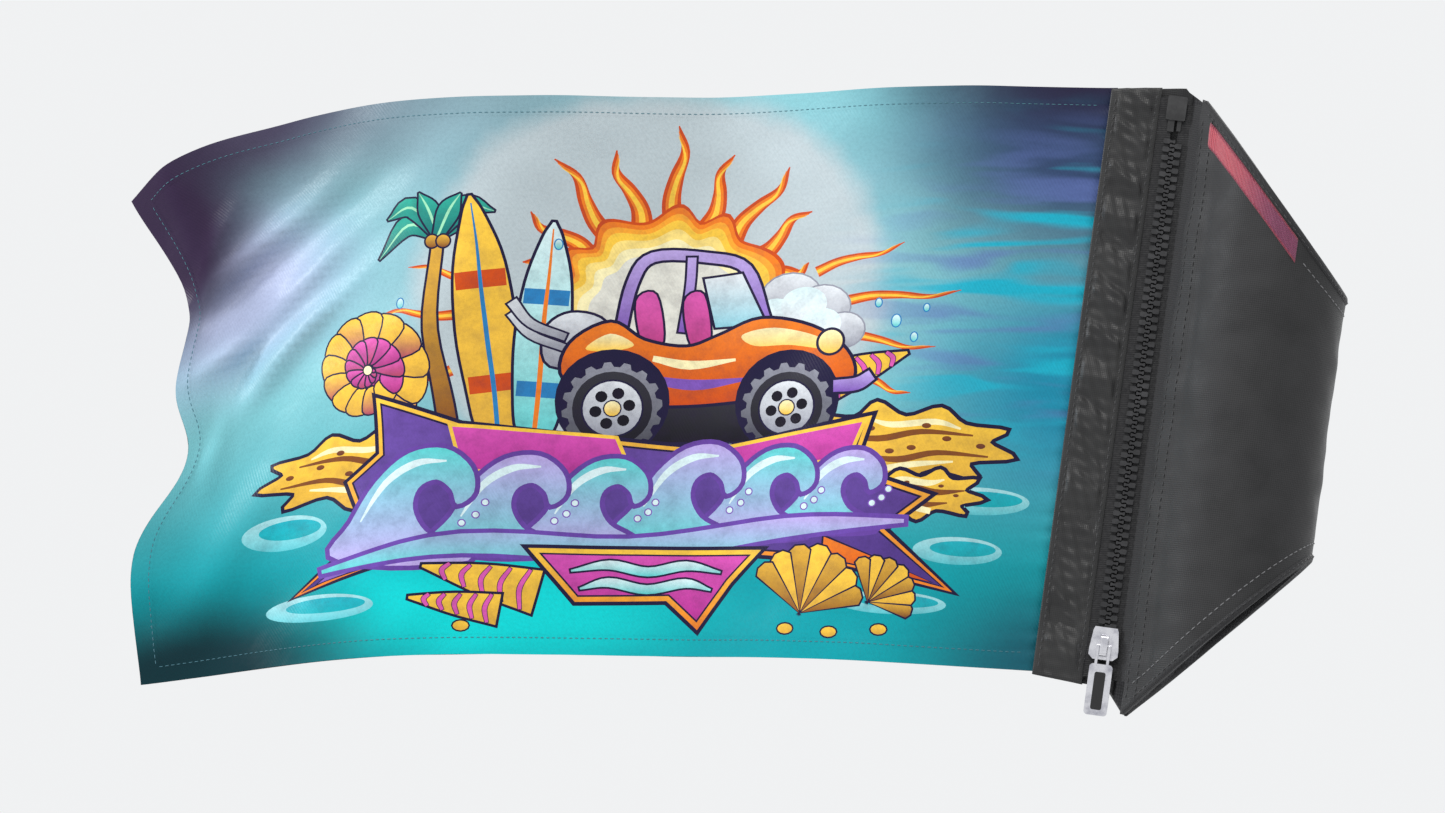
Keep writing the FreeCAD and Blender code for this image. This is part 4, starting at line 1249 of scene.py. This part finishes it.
def add_camera():
    """Camera on the side of the flag's near face, slightly below it and towards the bar."""
    azimuth, elevation = math.radians(6.7), math.radians(-4.4)
    low, high = CAD_BOX
    level = math.cos(elevation)
    back = Vector((math.sin(azimuth) * level, -math.cos(azimuth) * level, math.sin(elevation)))
    data = bpy.data.cameras.new("camera")
    data.lens, data.clip_end = 150, 100
    camera = bpy.data.objects.new("camera", data)
    shown_width = (high.x - low.x) * 1.16
    camera.location = (low + high) / 2 + back * (shown_width * data.lens / data.sensor_width)
    camera.rotation_euler = (-back).to_track_quat("-Z", "Y").to_euler()
    scene.collection.objects.link(camera)
    scene.camera = camera


def main():
    """Build everything."""
    add_camera()
    add_stage()

    sleeve_cloth = cloth_material("sleeve_fabric", greys(0.10, 0.18, 0.005), 0.0009, 0.00006, (0.5, 0.68),
                                  0.15, wrinkle=0.0005)
    header_tones = rgb(0.11, 0.11, 0.115), rgb(0.19, 0.19, 0.19)
    header_cloth = cloth_material("header_fabric", header_tones, 0.0008, 0.00006, (0.34, 0.48), 0.25,
                                  wrinkle=0.0007)
    lining_cloth = cloth_material("lining", greys(0.16, 0.26), 0.0014, 0.00012, (0.85, 0.95), 0.4)
    webbing = cloth_material("webbing", greys(0.08, 0.15), 0.0016, 0.0002, on_flat=False)
    binding = ribbed_tape("binding", greys(0.07, 0.15), 0.0009, 0.00012, "X")
    zip_tape = ribbed_tape("zip_tape", greys(0.06, 0.13), 0.0008, 0.0001, "Z", on_flat=False)
    teeth = plastic("zip_teeth", greys(0.10, 0.20), (0.28, 0.42))
    box_plastic = plastic("zip_box", greys(0.12, 0.20, 0.005), (0.32, 0.45))
    nickel = plated_metal("slider_metal")
    rubber = plastic("pull_insert", greys(0.05, 0.10, 0.005), (0.5, 0.7))
    light_thread = thread("light_thread", greys(0.34, 0.52))
    dark_thread = thread("dark_thread", greys(0.10, 0.20))
    sea_thread = thread("sea_thread", (rgb(0.16, 0.38, 0.44), rgb(0.28, 0.50, 0.56)))

    flag = bend_at_hoist(flag_cloth(printed_satin()))
    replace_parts(flag, "flag_cloth", "flag_hem_top", "flag_hem_bottom", "flag_hem_fly")
    hems = [line for line in hem_stitches(sea_thread)]

    front = header_ply("header_front", 1, -3.5, -2.9, header_cloth)
    back = header_ply("header_back", -1, 2.8, 2.2, header_cloth)
    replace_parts(front, "header_front_ply")
    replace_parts(back, "header_back_ply")
    for ply in (front, back):
        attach(ply, "sleeve")
    for number, across in enumerate(HEADER_SEAMS):
        for depth, lift, face in ((-3.45, -1, "near"), (2.75, 1, "far")):
            row = header_stitches(f"header_stitches_{number}_{face}", across, depth, lift, dark_thread)
            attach(row, "sleeve")

    add_sleeve(sleeve_cloth, lining_cloth, binding, light_thread, dark_thread)

    for material, bevel, nodes in (
        (webbing, 0.0, ("header_webbing", "flap_facing")),
        (zip_tape, 0.0, ("zip_tape_header", "zip_tape_flap")),
        (teeth, 0.18, ("zip_teeth_header", "zip_teeth_flap")),
        (box_plastic, 0.25, ("zip_stop_header", "zip_stop_flap", "zip_box", "zip_pin")),
        (nickel, 0.3, ("slider_body", "slider_bridge", "pull_frame")),
        (nickel, 0.0, ("slider_lock_spring",)),
        (rubber, 0.3, ("pull_insert",)),
    ):
        for node in nodes:
            dress(node, material, bevel)


main()
